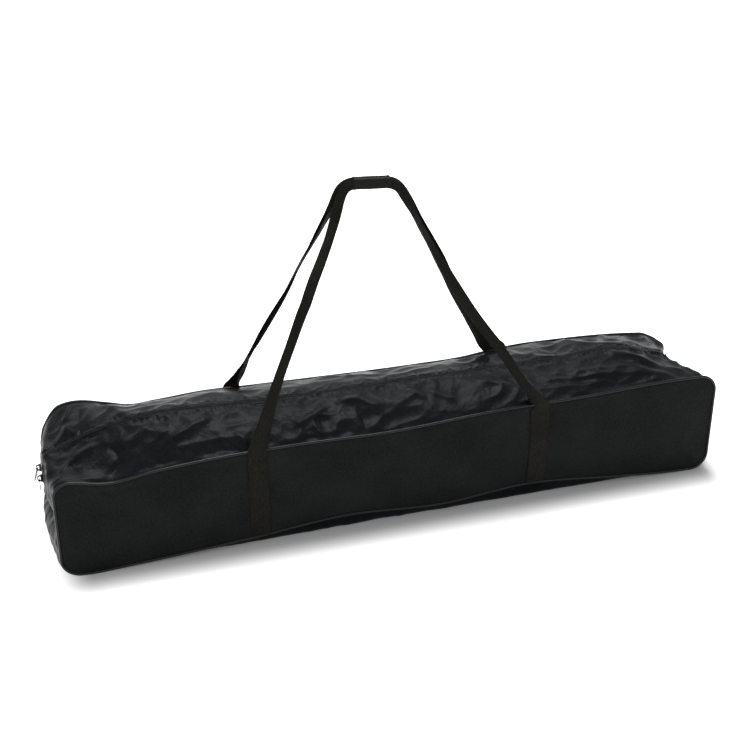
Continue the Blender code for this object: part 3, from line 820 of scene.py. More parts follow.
@dataclass(frozen=True)
class Moulded:
    """Vinyl, rubber, plastic or lacquer: a smooth colour with faint mottling and small dents.

    Attributes:
        colour, worn: Its colour, and that where it is rubbed.
        roughness: How matt it is.
        grain: Waves a metre of its fine surface.
        relief: Height of that grain.
        metallic: 1 for bare metal.
        coat: Share of a clear gloss over it.
        gloss: How strongly it mirrors, where 0.5 is plain plastic.
    """

    colour: Triple
    worn: Triple
    roughness: float
    grain: float = 700.0
    relief: float = 0.05 * MM
    metallic: float = 0.0
    coat: float = 0.0
    gloss: float = 0.5
    mottling: float = 35.0

    def material(self, name: str) -> bpy.types.Material:
        """Colour and roughness drift with a wide noise, and a fine one dents the surface.

        Args:
            name: The material's name.

        Returns:
            The material.
        """
        g = Graph.material(name)
        drift = g.noise(self.mottling, 4.0)
        fine = g.noise(self.grain, 3.0)
        shade = (drift * 1.6 - 0.4).clamp()
        return g.finish(
            Base_Color=g.blend(shade, self.colour, self.worn),
            Roughness=(drift * 0.18 + fine * 0.1 + (self.roughness - 0.14)).clamp(),
            Normal=g.bump(fine, self.relief),
            Metallic=self.metallic,
            Coat_Weight=self.coat,
            Specular_IOR_Level=self.gloss,
        )


class Finish(Enum):
    """The record's material slots with the finish that each gets."""

    panel_cloth = WovenCloth((0.020, 0.022, 0.0215), (0.002, 0.002, 0.002), 0.75 * MM, 0.55, 0.01, 0.14 * MM, 0.06)
    gusset_cloth = WovenCloth(
        (0.0105, 0.0128, 0.0150), (0.001, 0.0012, 0.0014), 0.42 * MM, 0.34, 0.006, 0.03 * MM, 0.055, 0.9 * MM,
        (0.7, 0.88, 1.0),
    )
    piping_vinyl = Moulded((0.003, 0.003, 0.003), (0.006, 0.006, 0.006), 0.22, 900.0, 0.02 * MM, gloss=0.24)
    webbing = WebbingWeave((0.046, 0.044, 0.034), (0.001, 0.001, 0.001))
    grip_cloth = WovenCloth((0.016, 0.015, 0.013), (0.003, 0.003, 0.002), 0.9 * MM, 0.66, 0.03, 0.12 * MM)
    zip_tape = WovenCloth((0.003, 0.003, 0.003), (0.001, 0.001, 0.001), 0.5 * MM, 0.6, 0.0, 0.08 * MM, 0.02)
    slider_metal = Moulded((0.020, 0.020, 0.021), (0.045, 0.045, 0.047), 0.32, 1200.0, 0.02 * MM, 1.0)
    powder_coat = Moulded((0.014, 0.014, 0.015), (0.024, 0.024, 0.026), 0.42, 2200.0, 0.06 * MM)
    bright_steel = Moulded((0.56, 0.56, 0.57), (0.42, 0.42, 0.44), 0.24, 900.0, 0.01 * MM, 1.0)
    rubber = Moulded((0.012, 0.012, 0.012), (0.022, 0.021, 0.020), 0.68, 500.0, 0.08 * MM)
    black_plastic = Moulded((0.015, 0.015, 0.016), (0.028, 0.028, 0.029), 0.36, 800.0, 0.03 * MM)
    net_cord = Moulded((0.012, 0.013, 0.014), (0.028, 0.029, 0.030), 0.58, 2600.0, 0.20 * MM)
    headband_vinyl = Moulded((0.72, 0.72, 0.70), (0.62, 0.61, 0.58), 0.44, 600.0, 0.05 * MM)
    tie_tape = WebbingWeave((0.030, 0.030, 0.031), (0.008, 0.008, 0.008), 1.2 * MM, 0.75)

    thread = Moulded((0.008, 0.008, 0.008), (0.016, 0.016, 0.015), 0.45, 1800.0, 0.05 * MM, gloss=0.15)

    def dress(self, piece: Piece) -> Piece:
        """Gives a piece this finish. Thread is part of the zip tape's slot.

        Args:
            piece: The piece.

        Returns:
            The same piece.
        """
        piece.data.materials.clear()
        piece.data.materials.append(self.shared())
        return piece

    def shared(self) -> bpy.types.Material:
        """The one material of this finish, made when it is first asked for."""
        return bpy.data.materials.get("finish_" + self.name) or self.value.material("finish_" + self.name)


STITCH_SHARE = 0.76
THREAD_RADIUS = 0.33 * MM
THREAD_SIDES = 5


def make_stitches(name: str, places: Array, along: Array, out: Array, pitch: float) -> Piece:
    """Stitches of black thread, one at each place.

    Args:
        name: The object's name.
        places: Middles of the stitches on the cloth, n by 3.
        along: The seam's direction at each.
        out: The direction off the cloth at each.
        pitch: Distance from stitch to stitch, of which a stitch fills three quarters.

    Returns:
        The object with its finish.
    """
    along = unit(along)
    across = unit(np.cross(out, along))
    out = np.cross(along, across)
    points, faces = pill(pitch * STITCH_SHARE, THREAD_RADIUS, THREAD_SIDES, THREAD_ALONG, THREAD_WIDE)
    made = scatter(name, points, faces, places, np.stack([along, across, out], axis=1))
    return Finish.thread.dress(made)


# ---- the bag's shape

TOP_LINES = {
    "front": Curve(
        ((-0.545, -2), (-0.519, -6), (-0.462, -17), (-0.40, -9), (-0.32, -3), (-0.17, -1), (-0.015, -5),
         (0.165, 3), (0.30, 3), (0.48, 7), (0.53, 5), (0.545, 4)), MM),
    "middle": Curve(
        ((-0.5555, -14), (-0.541, -26), (-0.52, -22), (-0.50, -15), (-0.45, -2), (-0.41, 5), (-0.22, 3),
         (-0.06, 1), (0.11, 0), (0.28, -1), (0.305, -2), (0.346, 3), (0.395, 3), (0.42, 1), (0.44, -4),
         (0.475, -15), (0.50, -20), (0.525, -24), (0.547, -29), (0.5555, -28)), MM),
    "back": Curve(
        ((-0.545, 6), (-0.52, 17), (-0.487, 21), (-0.44, 10), (-0.405, 0), (-0.36, 1), (-0.28, 5), (-0.20, 2),
         (-0.10, -1), (0.0, -4), (0.08, -5), (0.17, -4), (0.215, 1), (0.26, 4), (0.33, 3), (0.40, 0), (0.45, -4),
         (0.483, -8), (0.50, -11), (0.517, -20), (0.532, -29), (0.545, -31)), MM),
}
TUCK = {
    Side.FRONT: Curve(
        ((-0.545, 3), (-0.50, 0), (-0.45, 2), (-0.25, 13), (-0.09, 25), (0.07, 16), (0.22, 26), (0.39, 10),
         (0.48, 2), (0.545, 0)), MM),
    Side.BACK: Curve(((-0.545, 0), (-0.42, 6), (-0.20, 14), (0.05, 8), (0.27, 16), (0.45, 4), (0.545, 0)), MM),
}
END_DENTS = {
    End.LEFT: Curve(
        ((0.0, 0), (0.011, -1), (0.045, -2), (0.062, -4.5), (0.076, 2), (0.09, 12), (0.103, 10), (0.125, 1),
         (0.15, 0), (0.165, 2), (0.18, 4), (0.20, 5)), MM),
    End.RIGHT: Curve(((0.0, 0), (0.05, 5), (0.10, 18), (0.15, 35), (0.18, 38), (0.20, 38)), MM),
}
BACK_CORNERS = {
    End.LEFT: Curve(
        ((0.0, 0), (0.07, 0), (0.09, 6), (0.105, 5), (0.125, 0), (0.145, 3), (0.165, 8), (0.20, 9)), MM),
    End.RIGHT: Curve(((0.0, 0), (0.13, 0), (0.155, 3), (0.17, 0), (0.20, -1)), MM),
}


@dataclass(frozen=True)
class BagForm:
    """Where the bag's cloth lies: a rounded box with a crowned top, slumped as packed.

    Attributes:
        half_length: Half the seam's length.
        seam_top: Height of the seam's top run.
        seam_foot: Height of its bottom run.
        seam_depth: Distance of the piping's line from the bag's middle plane.
        crown_top: Height of the top's middle line.
        end_reach: Distance of the ends' middle lines from the bag's middle.
        panel_depth: Distance of the panels' faces from the middle plane.
        corner: Radius of the seam's corners.
        crown_power: How squarely the top is crowned.
        floor_share: Share across the gusset from which the floor turns up to the seams.
        bulge, swell_run: How far the panels' middles stand out, and how far inside the seam they first do.
        hem, hem_fade, hem_ends: Height of the hem beside the zip, and where it ends across and down the ends.
        slump, tuck, tuck_in: Powers and share by which the top's sinking and the bottom's tucks fade.
        panel_fade, seam_fade, zip_fade: Distances from the seams and the zip between which wrinkles rise.
        floor_fade, floor_wrinkles: Where down the ends wrinkles fall to those of the floor, and their share there.
    """

    half_length: float
    seam_top: float
    seam_foot: float
    seam_depth: float
    crown_top: float
    end_reach: float
    panel_depth: float
    corner: float = 0.028
    crown_power: float = 1.8
    edge_depth: float = 0.0925
    floor_share: float = 0.88
    bulge: float = 0.0030
    hem: float = 0.5 * MM
    slump: float = 1.3
    tuck: Pair = (1.7, 1.25)
    tuck_in: float = 0.12
    dent_start: float = 0.48
    step: float = 0.4 * MM
    rim: float = 5 * MM
    swell_run: float = 0.075
    panel_fade: Pair = (1 * MM, 16 * MM)
    seam_fade: Pair = (0.5 * MM, 9 * MM)
    zip_fade: Pair = (3.4 * MM, 8 * MM)
    hem_fade: Pair = (7.5 * MM, 8.6 * MM)
    hem_ends: Pair = (0.08, 0.16)
    floor_fade: Pair = (0.17, 0.21)
    floor_wrinkles: float = 0.25
    pucker_from: float = 6 * MM
    pucker_run: float = 0.012

    @classmethod
    def from_frame(cls) -> "BagForm":
        """Reads the seam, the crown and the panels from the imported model.

        Returns:
            The form.
        """
        low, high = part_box("front_piping")
        radius = (high.y - low.y) / 2
        panel_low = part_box("front_panel")[0]
        return cls(
            half_length=high.x - radius,
            seam_top=high.z - radius,
            seam_foot=low.z + radius,
            seam_depth=-(low.y + high.y) / 2,
            crown_top=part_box("front_flap")[1].z,
            end_reach=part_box("bottom_gusset")[1].x,
            panel_depth=-panel_low.y,
        )

    @property
    def corner_start(self) -> float:
        """Distance round the seam from the top's middle to the top corner."""
        return self.half_length - self.corner

    @property
    def corner_run(self) -> float:
        """Length of one corner's arc."""
        return self.corner * math.pi / 2

    @property
    def side_run(self) -> float:
        """Length of the straight run of an end."""
        return self.seam_top - self.seam_foot - 2 * self.corner

    @property
    def half_round(self) -> float:
        """Distance round the seam from the top's middle to the bottom's middle."""
        return 2 * self.corner_start + 2 * self.corner_run + self.side_run

    def outline(self, u: Array, half: Array, top: Array, foot: Array) -> tuple[Array, Array]:
        """Point (x, z) of a rounded rectangle at the distance u round the seam.

        The straight runs stretch to the rectangle's own sides, and its corners are quarter circles.

        Args:
            u: Distance round the seam.
            half: Half the rectangle's length.
            top: Its top's height.
            foot: Its bottom's height.

        Returns:
            The coordinates x and z.
        """
        r, start, bend, side = self.corner, self.corner_start, self.corner_run, self.side_run
        d = np.abs(u)
        top_turn = np.clip((d - start) / bend, 0, 1) * math.pi / 2
        low_turn = np.clip((d - start - bend - side) / bend, 0, 1) * math.pi / 2
        top_share = np.clip(d / start, 0, 1)
        side_share = np.clip((d - start - bend) / side, 0, 1)
        low_share = np.clip((d - start - 2 * bend - side) / start, 0, 1)
        x = (half - r) * (top_share - low_share) + r * np.sin(top_turn) - r * (1 - np.cos(low_turn))
        z = top - r * (1 - np.cos(top_turn)) - (top - foot - 2 * r) * side_share - r * np.sin(low_turn)
        return np.sign(u) * x, z

    def settled(self, x: Array, y: Array, z: Array, s: Array) -> Array:
        """Moves points of the tight bag to where the slack cloth lies.

        The three top lines, at the front seam, the zip and the back seam, sink or stand by their curves, and
        a parabola through them serves between; this fades towards the floor. The bottom seams are tucked up
        and in by the curves of TUCK, the ends are dented by the curves of END_DENTS, and the back seam's
        upright corners are pulled in by those of BACK_CORNERS.

        Args:
            x, y, z: The points' coordinates.
            s: Their share across the gusset.

        Returns:
            The moved points.
        """
        share = np.clip((z - self.seam_foot) / (self.seam_top - self.seam_foot), 0.0, 1.1)
        front, middle, back = s * (s - 1) / 2, 1 - s * s, s * (s + 1) / 2
        top = front * TOP_LINES["front"](x) + middle * TOP_LINES["middle"](x) + back * TOP_LINES["back"](x)
        tuck = np.where(s < 0, TUCK[Side.FRONT](x), TUCK[Side.BACK](x))
        tuck = tuck * np.clip((np.abs(s) - self.floor_share) / (1 - self.floor_share), 0, 1) ** self.tuck[0]
        low = np.clip(1 - share, 0, 1) ** self.tuck[1]
        dent = np.where(x < 0, END_DENTS[End.LEFT](z), -END_DENTS[End.RIGHT](z))
        corner = np.where(x < 0, BACK_CORNERS[End.LEFT](z), -BACK_CORNERS[End.RIGHT](z))
        dent = dent * (1 - s * s) + corner * np.maximum(back, 0)
        dent = dent * smooth(np.abs(x), self.dent_start, self.half_length)
        inwards = np.sign(s) * tuck * low**3 * self.tuck_in
        return stack(x + dent, y - inwards, z + top * share**self.slump + tuck * low)

    def gusset_base(self, u: Array, s: Array) -> Array:
        """The gusset's outer face without its wrinkles.

        Its outline at the share s is a rounded rectangle that swells by 1 - s^2 at the ends and by
        1 - |s|^1.8 at the top.

        Args:
            u: Distance round the seam.
            s: Share across.

        Returns:
            Points.
        """
        half = self.half_length + (self.end_reach - self.half_length) * (1 - s * s)
        top = self.seam_top + (self.crown_top - self.seam_top) * (1 - np.abs(s) ** self.crown_power)
        foot = self.seam_foot * smooth(np.abs(s), 0.9, 1.0)
        x, z = self.outline(u, half, top, foot)
        return self.settled(x, s * self.edge_depth, z, s)

    def gusset(self, u: Array, s: Array, lift: Array | float = 0.0) -> Array:
        """The gusset's outer face with its wrinkles, lifted off along its normal.

        The normal is the cross product of the differences along u and s.

        Args:
            u: Distance round the seam.
            s: Share across.
            lift: Distance off the face.

        Returns:
            Points.
        """
        u, s = np.broadcast_arrays(u, s)
        along = self.gusset_base(u + self.step, s) - self.gusset_base(u - self.step, s)
        share = self.step / self.edge_depth
        over = self.gusset_base(u, np.clip(s + share, -1, 1)) - self.gusset_base(u, np.clip(s - share, -1, 1))
        normal = unit(np.cross(along, over))
        raised = self.gusset_relief(u, s * self.edge_depth) + lift
        points = self.gusset_base(u, s) + normal * raised[..., None]
        points[..., 2] = np.maximum(points[..., 2], 0.0)
        return points

    def run(self, u: Array, s: Array) -> Array:
        """The difference of the gusset's face a little further and a little less far round the seam."""
        return self.gusset(u + 0.5 * MM, s) - self.gusset(u - 0.5 * MM, s)

    def gusset_relief(self, u: Array, y: Array) -> Array:
        """Height of the gusset's wrinkles, level at its seams.

        It is the sum of the creases, two sizes of crumple, puckers beside the zip's stitching, and the hem
        folded under beside the zip.

        Args:
            u: Distance round the seam.
            y: Distance across from the zip's middle.

        Returns:
            Heights.
        """
        start, ends = self.corner_start, self.hem_ends
        edge = smooth(self.edge_depth - np.abs(y), *self.seam_fade)
        zip_gap = smooth(np.abs(y), *self.zip_fade)
        above = 1 - smooth(np.abs(u), start + self.corner_run + ends[0], start + ends[1])
        total = sum(fold(u, y) for fold in (*GUSSET_CRUMPLES, *GUSSET_CREASES))
        beside = np.exp(-((np.maximum(np.abs(y) - self.pucker_from, 0) / self.pucker_run) ** 2))
        pucker = ZIP_PUCKERS(u, y) * beside
        above_floor = 1 - smooth(np.abs(u), start + self.floor_fade[0], start + self.floor_fade[1])
        low = self.floor_wrinkles + (1 - self.floor_wrinkles) * above_floor
        hem = self.hem * (1 - smooth(np.abs(y), *self.hem_fade)) * above
        return (total * edge * low + pucker * above * edge) * zip_gap + hem

    def panel(self, side: Side, x: Array, z: Array, lift: Array | float = 0.0) -> Array:
        """A panel's outer face: flat to the edge, bulged by the load and wrinkled.

        It dips to the piping's middle within a few millimetres of the seam.

        Args:
            side: Which long side.
            x: Places along the bag.
            z: Heights.
            lift: Distance off the face.

        Returns:
            Points.
        """
        edge = self.seam_distance(x, z)
        rim = smooth(edge, 0.0, self.rim)
        depth = self.seam_depth + (self.panel_depth - self.seam_depth) * rim
        wrinkles = self.panel_relief(side, x, z) * smooth(edge, *self.panel_fade)
        swell = self.bulge * smooth(edge, 0.0, self.swell_run) + wrinkles
        y = side.value * (depth + swell + lift)
        return self.settled(x, y, z, np.full(np.shape(y), float(side.value)))

    def seam_distance(self, x: Array, z: Array) -> Array:
        """Distance of a panel's point from the seam: that of a rounded rectangle, positive inside.

        Args:
            x: Places along the bag.
            z: Heights.

        Returns:
            Distances.
        """
        r = self.corner
        mid = (self.seam_top + self.seam_foot) / 2
        off_x = np.abs(x) - (self.half_length - r)
        off_z = np.abs(z - mid) - ((self.seam_top - self.seam_foot) / 2 - r)
        outside = np.hypot(np.maximum(off_x, 0), np.maximum(off_z, 0))
        return r - outside - np.minimum(np.maximum(off_x, off_z), 0)

    def panel_relief(self, side: Side, x: Array, z: Array) -> Array:
        """Height of a panel's wrinkles: the listed creases, and long soft waves."""
        waves = Ripple(0.11, 0.55 * MM, 21 + side.value, (1.3, 1.0)), Ripple(0.04, 0.16 * MM, 24 + side.value)
        return sum(fold(x, z) for fold in (*waves, *PANEL_CREASES[side]))

    def seam(self, side: Side, u: Array) -> Array:
        """The piping's line along the seam.

        Args:
            side: Which long side.
            u: Distance round the seam.

        Returns:
            Points.
        """
        x, z = self.outline(u, self.half_length, self.seam_top, self.seam_foot)
        s = np.full(np.shape(u), float(side.value))
        return self.settled(x, s * self.seam_depth, z, s)


def creases(*rows: tuple[float, ...]) -> tuple[Crease, ...]:
    """Creases from rows of numbers.

    Args:
        rows: Both ends' coordinates, width and height in millimetres, then lean, and bow in millimetres.

    Returns:
        One crease for each row.
    """
    made = []
    for row in rows:
        p, q, to_p, to_q, width, height, lean, bow = (*row, 0, 0)[:8]
        ends = (p * MM, q * MM), (to_p * MM, to_q * MM)
        made.append(Crease(*ends, width * MM, height * MM, lean, bow * MM))
    return tuple(made)


GUSSET_CRUMPLES = (
    Crumple(Ripple(0.105, 1.0, 3, (1.7, 1.0)), 2.2 * MM),
    Crumple(Ripple(0.040, 1.0, 5, (1.5, 1.0)), 1.1 * MM),
)
ZIP_PUCKERS = Crumple(Ripple(0.014, 1.0, 8, (1.0, 3.0)), 0.9 * MM)
GUSSET_CREASES = creases(
    (-435, -54, -372, -20, 8, 4.3, 0.3), (-400, -60, -355, -40, 6, 3, 0.3),
    (-375, -62, -279, -25, 9, 4.3, 0.3), (-365, -70, -250, -66, 6, 3), (-262, -58, -240, -84, 10, 3.5),
    (-537, -68, -454, -25, 7, 3.8, 0.2, 9), (-525, -60, -473, -33, 5, -2.7),
    (-460, -84, -450, -31, 7, -4.6, 0.2, -16), (-177, -70, -92, -30, 7, 4.3, 0.3),
    (-92, -31, -21, -68, 7, 4.9, 0.3, 16), (-58, -45, -53, -86, 6, -4.3, 0.4), (-170, -81, -85, -81, 6, 2.7),
    (-9, -61, 49, -34, 8, 3.8, 0.3), (25, -24, 54, -52, 6, 3), (59, -36, 104, -64, 7, 3.5),
    (141, -29, 212, -61, 7, 3.2), (225, -52, 467, -77, 6, 3.5, 0.3, 4), (235, -68, 368, -76, 5, 2.4),
    (260, -40, 430, -56, 6, 2.4, 0.3), (367, -8, 460, -49, 6, 3.2), (376, -30, 470, -71, 6, -2.7),
    (-447, 70, -408, 13, 10, 4.9, 0.3), (-492, 88, -511, 46, 6, 4.3), (-511, 46, -493, 6, 6, 3.5),
    (-476, 85, -488, 30, 8, -4.1), (-304, 40, -193, 46, 10, 2.7), (-110, 70, 20, 30, 9, 2.7),
    (130, 75, 250, 25, 9, 3), (320, 70, 440, 30, 8, 2.7),
)
PANEL_CREASES = {
    Side.FRONT: creases(
        (-481, 168, -452, 156.5, 6, -2.4, 0.3), (-452, 156.5, -424, 166, 6, -2.4, 0.3),
        (-382, 143, -370, 168, 6, 2, 0.2), (-538, 150, -527, 34, 8, 1.6, 0.2),
        (-501, 142, -482, 24, 10, 1.8, 0.2), (477, 76, 535, 6, 10, 2.4, 0.3),
        (272, 108, 350, 33, 12, 1.8, 0.3), (-170, 160, -20, 120, 10, 1.4, 0.3),
    ),
    Side.BACK: creases(
        (470, 140, 400, 50, 12, 1.8, 0.3), (-400, 130, -470, 40, 12, 1.8, 0.3),
        (50, 150, -60, 60, 13, 1.4, 0.3),
    ),
}


# ---- the bag's pieces


@dataclass(frozen=True)
class BagShell:
    """The sewn cloth of the bag with its piping and zip.

    Attributes:
        form: Where the cloth lies.
        cloth: Thickness of the cloth.
        spacing: Size of the meshes' cells.
        flap_end: Distance from the middle to the ends of the opening.
        blend_run: A distance from there into the flap.
        zip_half: Distance from the zip's middle to the cloth's edge.
        zip_foot: Height where the zip starts on the ends.
        stitch_pitch, stitch_lift: Distance from stitch to stitch, and how far they stand off the cloth.
        stitch_row, stitch_inset: Distance of the thread from the zip's middle, and from the piping.
        overlap: A distance short of a flap's end.
    """

    form: BagForm
    cloth: float = 1.1 * MM
    spacing: float = 2.2 * MM
    top_spacing: float = 1.7 * MM
    under_spacing: float = 3.0 * MM
    flap_end: float = 0.505
    blend_run: float = 0.225
    zip_half: float = 3.4 * MM
    zip_foot: float = 0.088
    piping_radius: float = 2.3 * MM
    piping_out: float = 0.3 * MM
    piping_places: int = 900
    piping_sides: int = 10
    stitch_pitch: float = 3.2 * MM
    stitch_row: float = 6.4 * MM
    stitch_inset: float = 2.4 * MM
    stitch_lift: float = 0.15 * MM
    overlap: float = 0.005

    def build(self) -> None:
        """Makes every piece, and puts the panels, piping, end strips, bottom and the stitching of the panels and
        end strips on the bag's body.
        """
        for side in Side:
            self.make_panel(side)
            self.make_piping(side)
            self.make_panel_stitching(side)
            for end in End:
                self.make_beside_zip(side, end)
                self.make_zip_stitching(side, end)
        self.make_bottom()

    @property
    def zip_end(self) -> float:
        """Distance round the seam from the top's middle to the zip's foot on an end.

        Returns:
            The distance.
        """
        form = self.form
        drop = form.seam_top - form.corner - self.zip_foot
        return form.corner_start + form.corner_run + drop

    def held(self, piece: Piece, side: Side, end: End) -> None:
        """Bakes the transform of an opening half's piece into its mesh."""
        fixed, free = (end.value * (self.flap_end - run) for run in (self.overlap, self.blend_run))
        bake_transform(piece)

    def make_panel(self, side: Side) -> None:
        """One large panel, over a grid whose rows run between points of its ends' outline.

        Args:
            side: Which long side.
        """
        form = self.form
        rows = form.corner_start + steps(0, 2 * form.corner_run + form.side_run, self.spacing)
        reach, height = form.outline(rows, form.half_length, form.seam_top, form.seam_foot)
        share = steps(-1.0, 1.0, self.spacing / form.half_length)
        a, v = grid(share, np.arange(len(rows))[::-1])
        x, z = a * reach[v], height[v]
        points, cut = form.panel(side, x, z), np.stack([x, z], axis=-1)
        made = make_surface(f"{side.word}_panel_cloth", points, cut, flip=side is Side.BACK)
        Finish.panel_cloth.dress(thicken(made, self.cloth))
        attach(made, "bag")
        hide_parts(side.word + "_panel")

    def make_piping(self, side: Side) -> None:
        """The vinyl cord round a panel: a circle carried along the seam.

        Args:
            side: Which long side.
        """
        form = self.form
        u = np.linspace(-form.half_round, form.half_round, self.piping_places)[:-1]
        path = form.seam(side, u)
        along = unit(np.roll(path, -1, axis=0) - np.roll(path, 1, axis=0))
        out = same((0, side.value, 0), len(path))
        across = unit(np.cross(along, out))
        ring = circle(self.piping_sides, self.piping_radius)
        points = sweep(path + out * self.piping_out, across, out, ring)
        points = np.concatenate([points, points[:1]])
        around = np.linspace(0, 2 * math.pi * self.piping_radius, self.piping_sides + 1)
        cut = tube_cut(np.linspace(0, 2 * form.half_round, len(points)), around)
        made = make_tube(f"{side.word}_piping_cord", points, cut, capped=False)
        Finish.piping_vinyl.dress(made)
        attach(made, "bag")
        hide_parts(side.word + "_piping")

    def make_panel_stitching(self, side: Side) -> None:
        """The row of thread just inside the piping, all the way round a panel.

        Args:
            side: Which long side.
        """
        form = self.form
        inset = self.piping_radius + self.stitch_inset
        u = np.arange(-form.half_round, form.half_round, self.stitch_pitch)
        x, z = form.outline(u, form.half_length - inset, form.seam_top - inset, form.seam_foot + inset)
        places = form.panel(side, x, z, self.stitch_lift)
        along = np.roll(places, -1, axis=0) - np.roll(places, 1, axis=0)
        out = same((0, side.value, 0), len(places))
        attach(make_stitches(f"{side.word}_panel_stitching", places, along, out, self.stitch_pitch), "bag")

    def make_zip_stitching(self, side: Side, end: End) -> None:
        """The row of thread through the hem beside the zip: one piece on the flap and one on the end.

        Args:
            side: Which long side.
            end: Which end.
        """
        form = self.form
        s = side.value * self.stitch_row / form.edge_depth
        for part, low, high in (("flap", 0.0, self.flap_end), ("end_strip", self.flap_end, self.zip_end)):
            u = end.value * (np.arange(low, high - self.stitch_pitch, self.stitch_pitch) + self.stitch_pitch / 2)
            share = np.full(len(u), s)
            places, along = form.gusset(u, share, self.stitch_lift), form.run(u, share)
            out = unit(np.cross(along, same((0, 1, 0), len(u))))
            name = f"{side.word}_{part}_zip_stitching_{end.word}"
            made = make_stitches(name, places, along, out, self.stitch_pitch)
            if part == "flap":
                self.held(made, side, end)
            else:
                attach(made, "bag")

    def strip(self, name: str, u: Array, s: Array, tape: Pair | None = None) -> Piece:
        """A piece of gusset cloth, or of the zip's tape, over a grid of places round the seam and shares across.

        Args:
            name: The piece's name.
            u: Distance round the seam.
            s: Share across.
            tape: How far a tape lies below the cloth, and its thickness.

        Returns:
            The piece.
        """
        sink, thickness = tape or (0.0, self.cloth)
        a, b = grid(u, s)
        made = make_surface(name, self.form.gusset(a, b, -sink), np.stack([a, b * self.form.edge_depth], axis=-1))
        return (Finish.zip_tape if tape else Finish.gusset_cloth).dress(thicken(made, thickness))

    def shares(self, low: float, high: float) -> Array:
        """Shares across the gusset between two distances from the middle plane."""
        return steps(low, high, self.top_spacing * 0.9) / self.form.edge_depth

    def make_beside_zip(self, side: Side, end: End) -> None:
        """Half of the flap on one side, and the strip from its end over the corner to the zip's foot.

        Args:
            side: Which side of the zip.
            end: Which half of the bag.
        """
        s = np.sort(side.value * self.shares(self.zip_half, self.form.edge_depth))
        u = np.sort(steps(0.0, end.value * self.flap_end, self.top_spacing))
        made = self.strip(f"{side.word}_flap_cloth_{end.word}", u, s)
        self.held(made, side, end)
        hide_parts(side.word + "_flap")
        u = np.sort(end.value * steps(self.flap_end, self.zip_end, self.top_spacing))
        made = self.strip(f"{side.word}_end_strip_cloth_{end.word}", u, s)
        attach(made, "bag")
        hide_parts(f"{end.word}_end_{side.word}_strip")

    def make_bottom(self) -> None:
        """The band under the bag and up both ends to the zip."""
        form = self.form
        half = steps(self.zip_end, form.half_round, self.under_spacing)
        u = np.concatenate([half, (2 * form.half_round - half)[::-1][1:]])
        s = steps(-form.edge_depth, form.edge_depth, self.under_spacing) / form.edge_depth
        u = np.where(u > form.half_round, u - 2 * form.half_round, u)
        made = self.strip("bottom_gusset_cloth", u, s)
        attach(made, "bag")
        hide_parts("bottom_gusset")


@dataclass(frozen=True)
class Zip:
    """The coil zip: tape and teeth on the top halves and down the ends.

    Attributes:
        shell: The bag that it is sewn into.
        tooth_pitch: Distance between teeth of one half.
        tooth_length, tooth_radius, tooth_lift: Their size, and how far they stand off the tape.
        past_middle: How far a tooth reaches over to the other half.
        sink, under, from_middle: Where the tape lies below and under the cloth, and off the zip's middle.
    """

    shell: BagShell
    tooth_pitch: float = 1.7 * MM
    tooth_length: float = 3.0 * MM
    tooth_radius: float = 0.55 * MM
    past_middle: float = 0.35 * MM
    sink: float = 0.9 * MM
    tooth_lift: float = 0.1 * MM
    tape_thickness: float = 0.5 * MM
    under: float = 1.5 * MM
    from_middle: float = 0.15 * MM
    tape_cell: float = 0.85 * MM
    half_cell: float = 2.4 * MM
    end_cell: float = 2.0 * MM

    def build(self) -> None:
        """Makes the tapes and teeth of each half of the opening and of both ends."""
        for end in End:
            for side in Side:
                self.make_half(side, end)
            self.make_end(end)

    def tape(self, name: str, u: Array, low: float, high: float) -> Piece:
        """A strip of tape sunk below the cloth's edge, between two distances from the middle plane."""
        s = steps(low, high, self.tape_cell) / self.shell.form.edge_depth
        return self.shell.strip(name, u, s, (self.sink, self.tape_thickness))

    def teeth(self, name: str, u: Array, sides: Array) -> Piece:
        """Rows of small loops of the coil, each lying across the zip on its own half.

        Args:
            name: The piece's name.
            u: Distance round the seam.
            sides: Sign of each tooth's half.

        Returns:
            The piece.
        """
        form = self.shell.form
        reach = self.tooth_length / 2 - self.past_middle
        s = sides * reach / form.edge_depth
        origins = form.gusset(u, s, np.full(np.shape(u), self.tooth_lift - self.sink + self.tooth_radius))
        along = unit(form.run(u, s))
        across = same((0, 1, 0), len(u))
        up = unit(np.cross(along, across))
        points, faces = pill(self.tooth_length, self.tooth_radius)
        made = scatter(name, points, faces, origins, np.stack([across, along, up], axis=1))
        return Finish.thread.dress(made)

    def make_half(self, side: Side, end: End) -> None:
        """Tape and teeth of one side of the zip, from the middle to the opening's end.

        Args:
            side: Which long side.
            end: Which end.
        """
        shell = self.shell
        low, high = sorted((self.from_middle * side.value, side.value * (shell.zip_half + self.under)))
        u = np.sort(steps(0.0, end.value * shell.flap_end, self.half_cell))
        tape = self.tape(f"{side.word}_zip_tape_{end.word}", u, low, high)
        first = 0.25 if side is Side.FRONT else 0.75
        places = np.arange(first, shell.flap_end / self.tooth_pitch) * self.tooth_pitch
        teeth = self.teeth(f"{side.word}_zip_coil_{end.word}", end.value * places, float(side.value))
        for piece in (tape, teeth):
            shell.held(piece, side, end)
            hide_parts(side.word + "_zip_half")

    def make_end(self, end: End) -> None:
        """Tape and closed teeth from the opening's end down to the zip's foot.

        Args:
            end: Which end.
        """
        shell = self.shell
        reach = shell.zip_half + self.under
        u = np.sort(end.value * steps(shell.flap_end, shell.zip_end, self.end_cell))
        tape = self.tape(end.word + "_end_zip_tape", u, -reach, reach)
        places = np.arange(shell.flap_end, shell.zip_end, self.tooth_pitch / 2)
        sides = np.where(np.arange(len(places)) % 2, 1.0, -1.0)
        teeth = self.teeth(end.word + "_end_zip_coil", end.value * places, sides)
        for piece in (tape, teeth):
            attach(piece, "bag")
            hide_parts(end.word + "_end_zip")


# ---- handles


